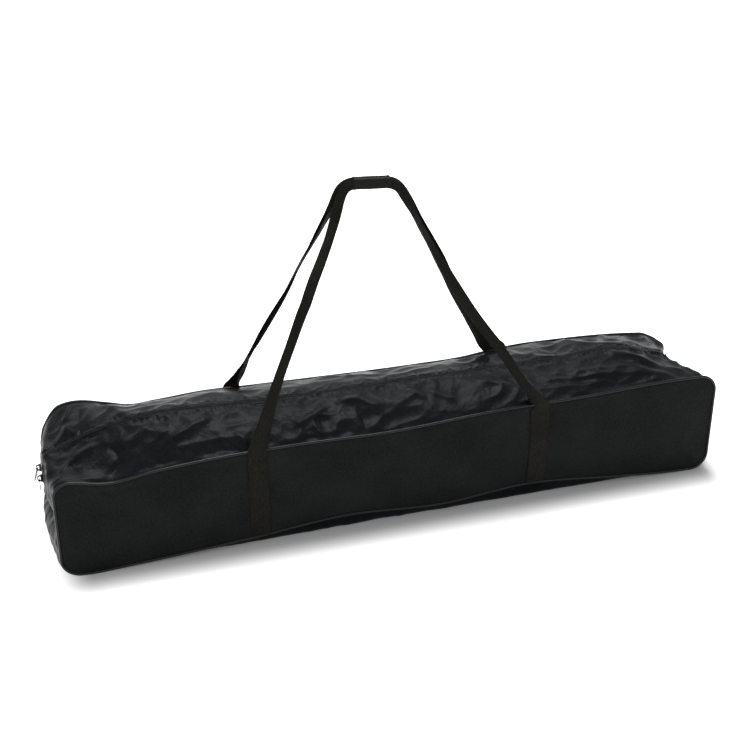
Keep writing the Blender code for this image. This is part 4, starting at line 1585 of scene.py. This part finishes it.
@dataclass(frozen=True)
class Leg:
    """One leg of a handle by height: how far it is folded and turned, in degrees, and how far it leans to +X."""

    fold: Curve
    twist: Curve
    lean: Curve


FOLD = Curve(((0.178, 0), (0.20, 25), (0.24, 58), (0.27, 72), (0.33, 84), (0.40, 120), (0.45, 168), (0.50, 178)))
QUICK_FOLD = Curve(
    ((0.178, 0), (0.19, 40), (0.21, 75), (0.27, 84), (0.33, 95), (0.40, 130), (0.45, 168), (0.50, 178)))
LEGS = {
    (Side.FRONT, End.LEFT): Leg(
        Curve(((0.178, 0), (0.20, 25), (0.24, 50), (0.27, 58), (0.33, 66), (0.39, 85), (0.44, 150), (0.48, 178))),
        Curve(((0.20, 0), (0.39, 8), (0.45, 45), (0.50, 52), (0.54, 0))),
        Curve(((0.18, 0), (0.24, 0), (0.285, 1), (0.34, 4), (0.40, 8), (0.455, 14), (0.51, 14), (0.567, 7)), MM),
    ),
    (Side.FRONT, End.RIGHT): Leg(
        QUICK_FOLD,
        Curve(((0.18, 0), (0.21, 20), (0.30, 10), (0.40, 15), (0.46, 50), (0.51, 50), (0.54, 0))),
        Curve(((0.18, 0), (0.215, 8), (0.25, 11), (0.29, 12), (0.35, 8), (0.42, 7), (0.48, 4), (0.53, -3),
               (0.56, -9)), MM),
    ),
    (Side.BACK, End.LEFT): Leg(
        Curve(((0.177, 0), (0.183, 50), (0.20, 140), (0.225, 178), (0.50, 178))),
        Curve(((0.178, 0), (0.21, 15), (0.235, 50), (0.265, 80), (0.31, 87), (0.40, 86), (0.44, 70), (0.48, 50),
               (0.52, 30), (0.545, 0))),
        Curve(((0.178, 0), (0.20, 2), (0.24, 1), (0.28, 2), (0.32, 4), (0.38, 7), (0.42, 7), (0.50, 7),
               (0.567, 6)), MM),
    ),
    (Side.BACK, End.RIGHT): Leg(
        FOLD,
        Curve(((0.20, 0), (0.30, -12), (0.40, -20), (0.46, -50), (0.51, -50), (0.54, 0))),
        Curve(((0.174, 0), (0.195, -8), (0.235, -3), (0.285, 4), (0.36, 9), (0.42, 9), (0.465, 6), (0.50, 2),
               (0.53, -3), (0.56, -9)), MM),
    ),
}


@dataclass(frozen=True)
class Handle:
    """One webbing loop: sewn flat up the panel, standing free to the grip and down again.

    Attributes:
        form: The bag that it is sewn to.
        side: Which of the two handles.
        width, thickness, spacing: The webbing's size, and the distance between its legs.
        pivot: Height of the stitching's top, where the handle starts.
        pivot_depth: Distance of the webbing's middle from the middle plane there.
        over_piping: Height and distance from the middle plane where it passes the piping.
        beside, upright_from: Distance from that plane beside the other handle, and the height where that starts.
        grip_rise, grip_length: How far the grip's left end is higher than its middle, and its length.
        bend: How far from the grip's ends the corners there are rounded.
        bows: How far the left and the right leg's middles stand off a straight line.
        fold_band, edge_power: Share of the half width where a fold turns over, and how square its edges are.
        pucker: Swell, wavelength and reach of the puckers at the grip's ends.
        joint: Distances below and above the pivot.
    """

    form: BagForm
    side: Side
    width: float = 32 * MM
    thickness: float = 1.7 * MM
    spacing: float = 0.467
    pivot: float = 0.17204
    pivot_depth: float = 0.0962
    over_piping: Pair = (0.1805, 0.0974)
    beside: float = 3.4 * MM
    upright_from: float = 0.533
    grip_height: float = 0.563
    grip_rise: float = 3.8 * MM
    grip_offset: float = -0.022
    grip_length: float = 0.100
    bend: float = 0.019
    bows: Pair = (-0.003, -0.024)
    stitch_pitch: float = 3.4 * MM
    stitch_edge: float = 2.6 * MM
    cell: float = 2.2 * MM
    softened: int = 6
    strands: int = 41
    fold_band: float = 0.24
    edge_power: float = 10
    pucker: Triple = (0.45, 3.8 * MM, 10 * MM)
    joint: Pair = (5 * MM, 6 * MM)
    sleeve_height: float = 0.0175
    sleeve_power: float = 0.45
    sleeve_sides: int = 28

    def build(self) -> None:
        """Makes the webbing, its stitching and the sleeve."""
        self.make_webbing()
        for end in End:
            self.make_stitching(end)
        self.make_sleeve()

    def depth(self, z: Array) -> Array:
        """Distance from the middle plane at each height: over the piping, then in to the other handle."""
        heights = (self.pivot, self.over_piping[0], self.upright_from)
        return np.interp(z, heights, (self.pivot_depth, self.over_piping[1], self.beside))

    def leg_line(self, end: End) -> Array:
        """Points (x, z) of a leg from its pivot to the grip's end: straight up, then a slanting bow that leans.

        Args:
            end: Which leg.

        Returns:
            The points.
        """
        foot = end.value * self.spacing / 2
        grip_x = self.grip_offset + end.value * self.grip_length / 2
        grip_z = self.grip_height - end.value * self.grip_rise
        z = steps(self.pivot, grip_z, 2 * MM)
        slant = np.clip((z - self.over_piping[0]) / (grip_z - self.over_piping[0]), 0, 1)
        bow = self.bows[0 if end is End.LEFT else 1]
        lean = LEGS[(self.side, end)].lean(z)
        return np.stack([foot + (grip_x - foot) * slant + bow * 4 * slant * (1 - slant) + lean, z], axis=1)

    def free_line(self) -> Array:
        """Points (x, z) of the whole free webbing, with its corners at the grip rounded.

        Returns:
            The points.
        """
        left, right = self.leg_line(End.LEFT), self.leg_line(End.RIGHT)[::-1]
        first, last = left[-1], right[0]
        up = left[np.linalg.norm(left - first, axis=1) > self.bend]
        down = right[np.linalg.norm(right - last, axis=1) > self.bend]
        grip = unit(last - first) * self.bend
        t = np.linspace(0, 1, 16)[:, None]
        near, tip, far = (1 - t) ** 2, 2 * t * (1 - t), t**2
        rising = (first + unit(up[-1] - first) * self.bend) * near + first * tip + (first + grip) * far
        falling = (last - grip) * near + last * tip + (last + unit(down[0] - last) * self.bend) * far
        return np.concatenate([up, rising, falling, down])

    def sewn_line(self, end: End) -> Array:
        """Points of the webbing sewn flat on the panel, from the bottom seam to the pivot.

        Args:
            end: Which leg.

        Returns:
            The points.
        """
        z = steps(self.form.seam_foot + 1.5 * MM, self.pivot - 3 * MM, 2.5 * MM)
        x = np.full(len(z), end.value * self.spacing / 2)
        return self.form.panel(self.side, x, z, self.thickness / 2 + 0.25 * MM)

    def line(self) -> Array:
        """The middle line of the whole loop in even steps, each moved halfway to its neighbours' mean six times.

        Returns:
            The points.
        """
        free = self.free_line()
        path = stack(free[:, 0], self.side.value * self.depth(free[:, 1]), free[:, 1])
        whole = np.concatenate([self.sewn_line(End.LEFT), path, self.sewn_line(End.RIGHT)[::-1]])
        along = lengths(whole)
        places = steps(0.0, along[-1], self.cell)
        path = np.stack([np.interp(places, along, part) for part in whole.T], axis=1)
        for _ in range(self.softened):
            path[1:-1] = path[1:-1] / 2 + (path[:-2] + path[2:]) / 4
        return path

    def folds(self, path: Array) -> tuple[Array, Array]:
        """How far the webbing is folded and turned at each place, in radians.

        Args:
            path: The loop's middle line.

        Returns:
            Both angles.
        """
        height = path[:, 2]
        left = path[:, 0] < self.grip_offset
        shape = {end: LEGS[(self.side, end)] for end in End}
        fold = np.where(left, shape[End.LEFT].fold(height), shape[End.RIGHT].fold(height))
        twist = np.where(left, shape[End.LEFT].twist(height), -shape[End.RIGHT].twist(height))
        return np.radians(fold), np.radians(twist)

    def section(self, fold: Array, puckered: Array) -> Array:
        """The webbing's section, one for each fold angle: a flat strip whose inner half turns over.

        The strip's direction turns by the fold within a narrow band at its middle, so its middle line is the
        running sum of cosines and sines. The skin stands half the thickness off that line on both sides and
        is rounded at the edges. Where the webbing puckers at the grip's bends, its thickness swells.

        Args:
            fold: Radians of the fold at each place.
            puckered: Share that the thickness swells there.

        Returns:
            Places by points by 2.
        """
        c = np.linspace(-1, 1, self.strands)
        step = self.width / (self.strands - 1)
        turn = fold[:, None] * smooth(c, -self.fold_band, self.fold_band)[None]
        middle = (turn[:, 1:] + turn[:, :-1]) / 2
        start = np.zeros((len(fold), 1))
        a, b = (np.concatenate([start, np.cumsum(part, axis=1)], axis=1) * step
                for part in (np.cos(middle), -np.sin(middle)))
        a, b = (line - ((line.max(axis=1) + line.min(axis=1)) / 2)[:, None] for line in (a, b))
        half = self.thickness / 2 * np.sqrt(1 - np.abs(c) ** self.edge_power) * (1 + puckered[:, None])
        top = np.stack([a + np.sin(turn) * half, b + np.cos(turn) * half], axis=-1)
        under = np.stack([a - np.sin(turn) * half, b - np.cos(turn) * half], axis=-1)
        return np.concatenate([top, under[:, -2:0:-1]], axis=1)

    def make_webbing(self) -> None:
        """Carries the section along the loop: across it at rest is +X at the legs' feet."""
        path = self.line()
        along = unit(np.gradient(path, axis=0))
        out = same((0, self.side.value, 0), len(path))
        out = unit(out - along * np.sum(out * along, axis=1, keepdims=True))
        across = unit(np.cross(along, out)) * -self.side.value
        fold, twist = self.folds(path)
        turned = across * np.cos(twist)[:, None] + out * np.sin(twist)[:, None]
        out = out * np.cos(twist)[:, None] - across * np.sin(twist)[:, None]
        run = lengths(path)
        swell, wave, reach = self.pucker
        off_grip = np.abs(np.abs(path[:, 0] - self.grip_offset) - self.grip_length / 2 + 8 * MM)
        bent = np.exp(-((off_grip / reach) ** 2)) * smooth(path[:, 2], 0.545, 0.556)
        points = sweep(path, turned, out, self.section(fold, bent * swell * np.sin(run * 2 * math.pi / wave)))
        cut = tube_cut(run, np.linspace(0, 2 * self.width, points.shape[1] + 1))
        word = self.side.word
        made = make_tube(f"{word}_webbing_loop", points, cut)
        Finish.webbing.dress(made)
        depth = self.side.value * self.pivot_depth
        low, high = self.pivot - self.joint[0], self.pivot + self.joint[1]
        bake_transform(made)
        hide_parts(f"{word}_handle", *(f"{word}_strap_{end.word}" for end in End))

    def make_stitching(self, end: End) -> None:
        """Thread that sews a strap down: a row beside each edge, and bars across it at its top and foot.

        Args:
            end: Which leg.
        """
        middle, edge = end.value * self.spacing / 2, self.width / 2 - self.stitch_edge
        z = steps(self.form.seam_foot + 8 * MM, self.pivot - 9 * MM, self.stitch_pitch)
        x = steps(-edge, edge, self.stitch_pitch)
        bars = [z[0], z[-1], z[-1] - 3 * MM, z[-1] - 24 * MM]
        places = np.concatenate([
            *[stack(side * edge, 0.0, z) for side in (-1, 1)], *[stack(x, 0.0, bar) for bar in bars]])
        sideways = np.concatenate([np.zeros(2 * len(z)), np.ones(len(bars) * len(x))])[:, None]
        on = self.form.panel(self.side, middle + places[:, 0], places[:, 2], self.thickness + 0.45 * MM)
        out = same((0, self.side.value, 0), len(on))
        along = np.where(sideways > 0, [1.0, 0.0, 0.0], [0.0, 0.0, 1.0])
        made = make_stitches(f"{self.side.word}_strap_stitching_{end.word}", on, along, out, self.stitch_pitch)
        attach(made, "bag")

    def make_sleeve(self) -> None:
        """The cloth sleeve round the folded webbing: a rounded oblong carried along the grip."""
        low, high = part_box(self.side.word + "_grip")
        x = np.concatenate([[low.x + 0.4 * MM], steps(low.x, high.x, 1.2 * MM), [high.x - 0.4 * MM]])
        slope = -2 * self.grip_rise / self.grip_length
        middle_z = self.grip_height + slope * (x - self.grip_offset)
        y = np.full(len(x), (low.y + high.y) / 2)
        path = stack(x, y, middle_z)
        half, powers = ((high.y - low.y) / 2, self.sleeve_height / 2), (self.sleeve_power, self.sleeve_power)
        ring = oblong(self.sleeve_sides, half, powers)[:, ::-1]
        t = (x - low.x) / (high.x - low.x)
        hem = 1 - 0.06 * smooth(np.minimum(t, 1 - t), 0.04, 0.10) + 0.05 * np.sin(np.clip(t, 0, 1) * math.pi)
        hem[[0, -1]] = 0.80
        up = unit(same((-slope, 0, 1), len(x)))
        points = sweep(path, up, same((0, 1, 0), len(x)), ring[None] * hem[:, None, None])
        cut = tube_cut(x, np.linspace(0, 0.044, self.sleeve_sides + 1))
        made = Finish.grip_cloth.dress(make_tube(f"{self.side.word}_grip_sleeve", points, cut))
        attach(made, self.side.word + "_handle")
        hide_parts(self.side.word + "_grip")


# ---- sliders


@dataclass(frozen=True)
class Slider:
    """A zip slider on the bag's left end with its crown and its pull tab.

    Attributes:
        which: Upper or lower.
        lean: Degrees that its tab hangs out at rest.
        crown_height: How far the crown stands off the body.
        crown_sink: How far the crown's feet sink into the body.
        powers: How squarely the body's face, rim and outline, and the crown's section, are rounded.
        groove, tail: Depth and width of the groove round its rim, and how much narrower its tail is.
        eye, edge: Of the tab's hole and outline: half the width, the middle from the hinge and half the length.
        plate: Half the tab's thickness, and what its rim and ribs add to it, in millimetres.
        ribbed, rib: Distances from the hinge between which the ribs rise and end, and from rib to rib.
    """

    which: str
    lean: float
    crown_height: float = 5.4 * MM
    crown_width: float = 4.0 * MM
    wall: float = 1.5 * MM
    body: float = 3.2 * MM
    crown_sink: float = 0.2 * MM
    powers: tuple[float, ...] = (0.5, 0.22, 0.55, 0.6)
    groove: Pair = (0.16, 0.3)
    tail: float = 0.16
    eye: Triple = (2.6 * MM, 4.3 * MM, 3.6 * MM)
    edge: Triple = (4.2 * MM, 12.15 * MM, 12.8 * MM)
    plate: Pair = (0.42, 0.26)
    ribbed: tuple[Pair, Pair] = ((13 * MM, 14 * MM), (21.5 * MM, 22.5 * MM))
    rib: float = 1.9 * MM

    def build(self) -> None:
        """Makes the body with its crown, and the tab."""
        self.make_body()
        self.make_tab()

    def make_body(self) -> None:
        """Two wings joined at their middle: a rounded box, narrower at its tail, grooved all round its rim.

        Each point is a power of cosines and sines of its two angles, and the crown is an arch of the same
        rounded section that spans the body along the zip.
        """
        low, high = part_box(self.which + "_slider")
        base, height = high.x, (low.z + high.z) / 2
        long, wide = (high.z - low.z) / 2, (high.y - low.y) / 2
        of_face, of_rim, of_outline, of_crown = self.powers
        lat, lon = grid(np.linspace(-math.pi / 2, math.pi / 2, 25), np.linspace(-math.pi, math.pi, 49))
        out = powered(np.sin(lat), of_face)
        rim = np.maximum(np.cos(lat), 0) ** of_rim * (1 - self.groove[0] * np.exp(-((out / self.groove[1]) ** 2)))
        y, z = rim * powered(np.cos(lon), of_outline) * wide, rim * powered(np.sin(lon), of_outline) * long
        y = y * (1 - self.tail * z / long)
        points = stack(base - self.body / 2 * (1 + out), y, height + z)
        body = make_surface(f"{self.which}_slider_body", points, np.stack([y, z], axis=-1))
        t = np.linspace(0, math.pi, 33)
        reach = long - self.wall
        rise = (self.crown_height - self.wall / 2) * np.sin(t) ** 0.5
        path = stack(base - self.body + self.crown_sink - rise, 0.0, height - np.cos(t) * reach)
        across = same((0, 1, 0), len(path))
        normal = unit(np.cross(unit(np.gradient(path, axis=0)), across))
        ring = oblong(16, (self.crown_width / 2, self.wall / 2), (of_crown, of_crown))
        points = sweep(path, across, normal, ring)
        cut = tube_cut(lengths(path), np.linspace(0, 0.01, len(ring) + 1))
        crown = make_tube(f"{self.which}_slider_crown", points, cut)
        for made in (join_ring(body), crown):
            Finish.slider_metal.dress(made)
            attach(made, self.which + "_slider")
            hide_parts(self.which + "_slider")

    def make_tab(self) -> None:
        """A flat tab with an eye: rings between the eye's outline and its own, thick at its rim and ribs.

        Both outlines are rounded oblongs; at the share k between them the tab's half thickness is 0.45 mm,
        0.7 mm at the rim, and it rises in ribs across the lower half.
        """
        joints = frame["record"]["behaviour"]["joints"]
        joint = next(joint for joint in joints if joint["name"] == f"{self.which}_pull_tab_hinge")
        pivot = np.array(joint["pos_m"], float)
        lean = math.radians(self.lean)
        out = np.array([-math.cos(lean), 0.0, math.sin(lean)])
        down = np.array([-math.sin(lean), 0.0, -math.cos(lean)])
        turn = np.linspace(0, 2 * math.pi, 65)
        cos, sin = powered(np.cos(turn), 0.7), powered(np.sin(turn), 0.7)
        eye, edge = (
            np.stack([wide * cos, middle + long * sin], axis=1) for wide, middle, long in (self.eye, self.edge))
        share = np.linspace(0, 1, 9)
        flat = eye[:, None] + (edge - eye)[:, None] * share[None, :, None]
        rim = np.maximum(np.exp(-(((1 - share) / 0.16) ** 2)), np.exp(-((share / 0.12) ** 2)))[None]
        ribs = smooth(flat[..., 1], *self.ribbed[0]) * (1 - smooth(flat[..., 1], *self.ribbed[1]))
        ribs = ribs * 0.5 * (1 + np.sin(flat[..., 1] * 2 * math.pi / self.rib))
        rounded = np.where((share == 0) | (share == 1), 0.55, 1.0)
        half = (self.plate[0] + self.plate[1] * np.maximum(rim, ribs)) * MM * rounded
        faces = [pivot + out * side * half[..., None] + down * flat[..., 1:] + [0, 1, 0] * flat[..., :1]
                 for side in (1, -1)]
        points = np.concatenate([faces[0], faces[1][:, ::-1]], axis=1)
        cut = np.concatenate([flat, flat[:, ::-1], flat[:, :1]], axis=1)
        made = make_tube(f"{self.which}_tab_plate", points, cut, capped=False)
        Finish.slider_metal.dress(made)
        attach(made, self.which + "_pull_tab")
        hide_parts(self.which + "_pull_tab")


# ---- what lies inside


@dataclass(frozen=True)
class NetBundle:
    """The net rolled up from one end, its headband along one edge, and the two ties round it.

    Attributes:
        core: Radius where the roll starts.
        layer: Thickness of the netting with the headband's fold beside it.
        gap: Room between layers.
        tuck: Degrees below the horizontal where the outer end lies.
        mesh: Distance between the net's cords along the roll.
        cord: Their radius.
        tie: Thickness of the ties' tape.
    """

    core: float = 12 * MM
    layer: float = 6 * MM
    gap: float = 1 * MM
    tuck: float = 120.0
    mesh: float = 15 * MM
    cord: float = 0.8 * MM
    tie: float = 0.9 * MM

    def build(self) -> None:
        """Makes the netting, its cords, the headband and the ties."""
        low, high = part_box("net_roll")
        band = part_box("net_headband")
        self.make_layer("rolled_netting", "net_roll", Finish.net_cord, (low.x, high.x), 0.55, 0.0)
        ends = band[0].x, band[1].x
        self.make_layer("rolled_headband", "net_headband", Finish.headband_vinyl, ends, 0.35, 1.0)
        self.make_cords(low.x, high.x)
        for end in End:
            self.make_tie(end)

    def centre(self) -> tuple[float, float, float]:
        """The roll's axis (y, z) and its radius, from its ties' and its own box.

        Returns:
            y, z and the radius.
        """
        low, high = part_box("left_net_tie")
        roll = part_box("net_roll")
        return (low.y + high.y) / 2, (low.z + high.z) / 2, roll[1].z - (low.z + high.z) / 2

    def about(self, x: Array, radius: Array, angle: Array) -> Array:
        """Points at a place along the roll, a distance from its axis and an angle round it."""
        y, z, _ = self.centre()
        return stack(x, y + radius * np.cos(angle), z + radius * np.sin(angle))

    def spiral(self, turn: Array) -> tuple[Array, Array, Array]:
        """The outer face's angle and radius at so many turns from the outer end, and the radius's slack.

        The radius falls by a layer and a gap each turn and wavers a little.

        Args:
            turn: Turns from the outer end.

        Returns:
            The angle, the radius and the slack.
        """
        radius = self.centre()[2]
        angle = 2 * math.pi * turn - math.radians(self.tuck)
        return angle, radius - (self.layer + self.gap) * turn, 0.5 * MM * np.sin(5 * angle)

    def make_layer(
        self, name: str, node: str, finish: Finish, ends: Pair, share: float, hemmed: float
    ) -> None:
        """A sheet carried along the spiral, its section a flat loop whose rounded edges may hold a cord.

        Args:
            name: The piece's name.
            node: The node that it stands for.
            finish: Its finish.
            ends: Where it starts and ends along the roll.
            share: Its thickness as a share of a layer.
            hemmed: One for a cord in the hems at its two edges.
        """
        radius = self.centre()[2]
        turns = (radius - self.core) / (self.layer + self.gap)
        turn = np.linspace(0, turns, int(turns * 40))
        angle, outside, slack = self.spiral(turn)
        x = np.linspace(ends[0], ends[1], 60 if hemmed == 0 else 16)
        inset = np.minimum(x - ends[0], ends[1] - x)
        thick = self.layer * (share + hemmed * 0.5 * np.exp(-(((inset - 4 * MM) / (3 * MM)) ** 2)))
        thick = thick * np.sqrt(np.clip(inset / (1.5 * MM), 0.04, 1))
        wave = Ripple(0.06, 0.35 * MM, 41)(x[None] + 0 * turn[:, None], (angle * outside)[:, None] + 0 * x[None])
        middle = (outside - self.layer / 2 - 0.3 * MM)[:, None] + slack[:, None] * 0.3 + wave * (1 - hemmed)
        radii = np.concatenate([middle + thick / 2, (middle - thick / 2)[:, ::-1]], axis=1)
        radii = np.minimum(radii, radius - 0.1 * MM)
        across = np.concatenate([x, x[::-1]])[None]
        points = self.about(across, radii, angle[:, None])
        cut = tube_cut(lengths(points[:, 0]), np.concatenate([across[0], across[0, :1]]))
        made = make_tube(name, points, cut)
        finish.dress(made)
        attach(made, "bag")
        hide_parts(node)

    def make_cords(self, low: float, high: float) -> None:
        """The net's cords on the roll's outer turn: hoops round it, and lengthwise runs that wander.

        Args:
            low: The roll's left end.
            high: Its right end.
        """
        turn = np.linspace(0.01, 0.97, 60)
        x = np.arange(low + 6 * MM, high - 4 * MM, self.mesh)
        angle, outside, _ = self.spiral(turn)
        level = outside - self.cord
        sway = 2.2 * MM * np.sin(angle[None] * 3 + x[:, None] * 90)
        hoops = self.about(x[:, None] + sway, level, angle)
        radial = stack(0.0 * sway, np.cos(angle), np.sin(angle))
        runs = np.linspace(low + 2 * MM, high - 2 * MM, 60)
        start = np.linspace(0.02, 0.94, 17)[:, None]
        turned = start + 0.012 * np.sin(runs[None] * 40 + start * 60)
        angle, outside, _ = self.spiral(turned)
        level = outside - self.cord * 1.2
        lines = self.about(runs[None] + 0 * level, level, angle)
        outward = stack(0.0 * level, np.cos(angle), np.sin(angle))
        for name, paths, out in (("netting_hoops", hoops, radial), ("netting_runs", lines, outward)):
            made = Finish.net_cord.dress(make_tubes(name, paths, out, self.cord))
            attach(made, "bag")
            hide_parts("net_roll")

    def make_tie(self, end: End) -> None:
        """Hook tape once round the roll whose end laps over its start: a flat section along a rising circle.

        Args:
            end: Which tie.
        """
        node = end.word + "_net_tie"
        low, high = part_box(node)
        angle = np.radians(np.linspace(40.0, 440.0, 110))
        lapped = smooth(np.degrees(angle), 375.0, 392.0)
        level = self.centre()[2] + 0.25 * MM + self.tie / 2 + lapped * (self.tie + 0.05 * MM)
        path = self.about((low.x + high.x) / 2, level, angle)
        radial = stack(0.0 * angle, np.cos(angle), np.sin(angle))
        ring = oblong(20, ((high.x - low.x) / 2, self.tie / 2), (0.3, 0.5))
        points = sweep(path, same((1, 0, 0), len(path)), radial, ring)
        cut = tube_cut(lengths(path), np.linspace(0, 0.05, len(ring) + 1))
        made = make_tube(f"{end.word}_tie_tape", points, cut)
        Finish.tie_tape.dress(made)
        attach(made, "bag")
        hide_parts(node)


class PackedKit:
    """The frame's sections, which keep their modelled shapes: each gets the finish that its last word asks for."""

    FINISHES = {
        "rail": Finish.powder_coat,
        "post": Finish.powder_coat,
        "foot": Finish.powder_coat,
        "button": Finish.bright_steel,
        "plug": Finish.rubber,
        "cap": Finish.black_plastic,
    }

    def build(self) -> None:
        """Gives the finishes to the parts that no piece stands for."""
        for name, node in frame["nodes"].items():
            if node.hide_render:
                continue
            known = [word for word in name.split("_") if word in self.FINISHES]
            node.data.materials.clear()
            node.data.materials.append(self.FINISHES[known[-1]].shared())


# ---- studio


@dataclass(frozen=True)
class Lamp:
    """A rectangular soft lamp: where it hangs, the point that it faces, its two sides and its watts."""

    name: str
    place: Triple
    aim: Triple
    size: Pair
    power: float

    def build(self) -> None:
        """Hangs the lamp."""
        data = bpy.data.lights.new(self.name, "AREA")
        data.shape, data.size, data.size_y, data.energy = "RECTANGLE", *self.size, self.power
        lamp = bpy.data.objects.new(self.name, data)
        lamp.location = self.place
        lamp.rotation_mode = "QUATERNION"
        lamp.rotation_quaternion = (Vector(self.aim) - Vector(self.place)).to_track_quat("-Z", "Y")
        bpy.context.scene.collection.objects.link(lamp)


@dataclass(frozen=True)
class Studio:
    """White floor, soft lamps and the camera at the photograph's angle.

    Attributes:
        azimuth: Degrees that the camera stands round to the left of the front.
        elevation: Degrees that it looks down.
        distance: Its distance from the point it looks at.
        target: That point.
        lens: Focal length on a sensor of 36 mm.
        sky: Strength of the light from all round.
        shadow: How far from the bag the floor is white.
        oblong: The steps from a place on the floor to its distances from the bag's middle oblong.
        least_glow: What is left of its glow under the bag.
    """

    azimuth: float = 16.33
    elevation: float = 30.87
    distance: float = 2.5
    target: Triple = (-0.0163, 0.0, 0.2259)
    lens: float = 74.5
    sky: float = 0.28
    shadow: float = 0.074
    oblong: tuple[tuple[str, Triple], ...] = (
        ("SUBTRACT", (0.015, 0.0, 0.0)),
        ("ABSOLUTE", (0.0, 0.0, 0.0)),
        ("SUBTRACT", (0.515, 0.095, 0.0)),
        ("MAXIMUM", (0.0, 0.0, 0.0)),
    )
    sensor: float = 36.0
    floor_half: float = 8.0
    floor_grey: float = 0.80
    least_glow: float = 0.04
    lamps: tuple[Lamp, ...] = (
        Lamp("overhead", (0.15, 0.75, 2.3), (0.0, 0.0, 0.1), (1.3, 0.8), 44.0),
        Lamp("behind", (-0.25, 2.6, 1.5), (0.0, 0.0, 0.15), (2.2, 0.35), 9.0),
        Lamp("front_fill", (-1.6, -2.0, 1.8), (0.0, 0.0, 0.15), (1.6, 1.6), 14.0),
    )

    def build(self) -> None:
        """Makes the camera, the floor, the world and the lamps."""
        self.make_camera()
        self.make_floor()
        self.make_world()
        for lamp in self.lamps:
            lamp.build()
        bpy.context.scene.view_settings.view_transform = "Standard"

    def make_camera(self) -> None:
        """Stands back from the target along the direction that the two angles give."""
        a, e = math.radians(-self.azimuth), math.radians(self.elevation)
        back = Vector((math.sin(a) * math.cos(e), -math.cos(a) * math.cos(e), math.sin(e)))
        data = bpy.data.cameras.new("photo_angle")
        data.lens, data.sensor_width = self.lens, self.sensor
        data.clip_start, data.clip_end = 0.05, 50.0
        camera = bpy.data.objects.new("photo_angle", data)
        camera.location = Vector(self.target) + back * self.distance
        camera.rotation_mode = "QUATERNION"
        camera.rotation_quaternion = (-back).to_track_quat("-Z", "Y")
        bpy.context.scene.collection.objects.link(camera)
        bpy.context.scene.camera = camera

    def make_floor(self) -> None:
        """A wide white floor that keeps the shadow, and glows white to the camera away from the bag.

        The glow rises from nought to one with the distance from an oblong that lies under the bag.
        """
        g = Graph.material("white_floor")
        place = g.node("ShaderNodeTexCoord", {}, (), "Object")
        for operation, amount in self.oblong:
            place = g.node("ShaderNodeVectorMath", {"operation": operation}, (place, amount))
        away = g.node("ShaderNodeVectorMath", {"operation": "LENGTH"}, (place,), "Value")
        ramp = {"Value": away, "From Min": 0.0, "From Max": self.shadow, "To Min": self.least_glow, "To Max": 1.0}
        share = g.node("ShaderNodeMapRange", {"interpolation_type": "SMOOTHSTEP"}, ramp)
        matt = g.node("ShaderNodeBsdfDiffuse", {}, {"Color": (self.floor_grey,) * 3})
        glow = g.node("ShaderNodeEmission", {}, {"Color": (1.0, 1.0, 1.0), "Strength": g.seen() * share})
        both = g.node("ShaderNodeAddShader", {}, (matt, glow))
        g.feed(g.tree.nodes["Material Output"].inputs["Surface"], both)
        g.tree.nodes.remove(g.shader)
        corners = np.array([[-1, -1, 0], [1, -1, 0], [1, 1, 0], [-1, 1, 0]], float) * self.floor_half
        floor = make_mesh("studio_floor", corners, [[0, 1, 2, 3]], corners[:, :2])
        floor.data.materials.append(g.owner)

    def make_world(self) -> None:
        """White to the camera and to gloss, and a soft plain light to the rest."""
        world = bpy.data.worlds.new("studio")
        bpy.context.scene.world = world
        g = Graph(world)
        background = g.tree.nodes["Background"]
        g.feed(background.inputs["Color"], (1.0, 1.0, 1.0))
        g.feed(background.inputs["Strength"], g.seen() * (1.0 - self.sky) + self.sky)


def main() -> None:
    """Builds the studio and every sub-assembly in order, and logs the pieces that each one makes."""
    logging.basicConfig(level=logging.INFO, format="%(message)s")
    Studio().build()
    form = BagForm.from_frame()
    shell = BagShell(form)
    handles = [Handle(form, side) for side in Side]
    sliders = [Slider("upper", 17.97), Slider("lower", 0.0)]
    for part in (shell, Zip(shell), *handles, *sliders, NetBundle(), PackedKit()):
        before = {o.name for o in bpy.context.scene.objects}
        part.build()
        made = [o.name for o in bpy.context.scene.objects if o.name not in before]
        LOG.info("%s: %s", type(part).__name__, ", ".join(made) or "finishes only")


if __name__ == "__main__":
    main()
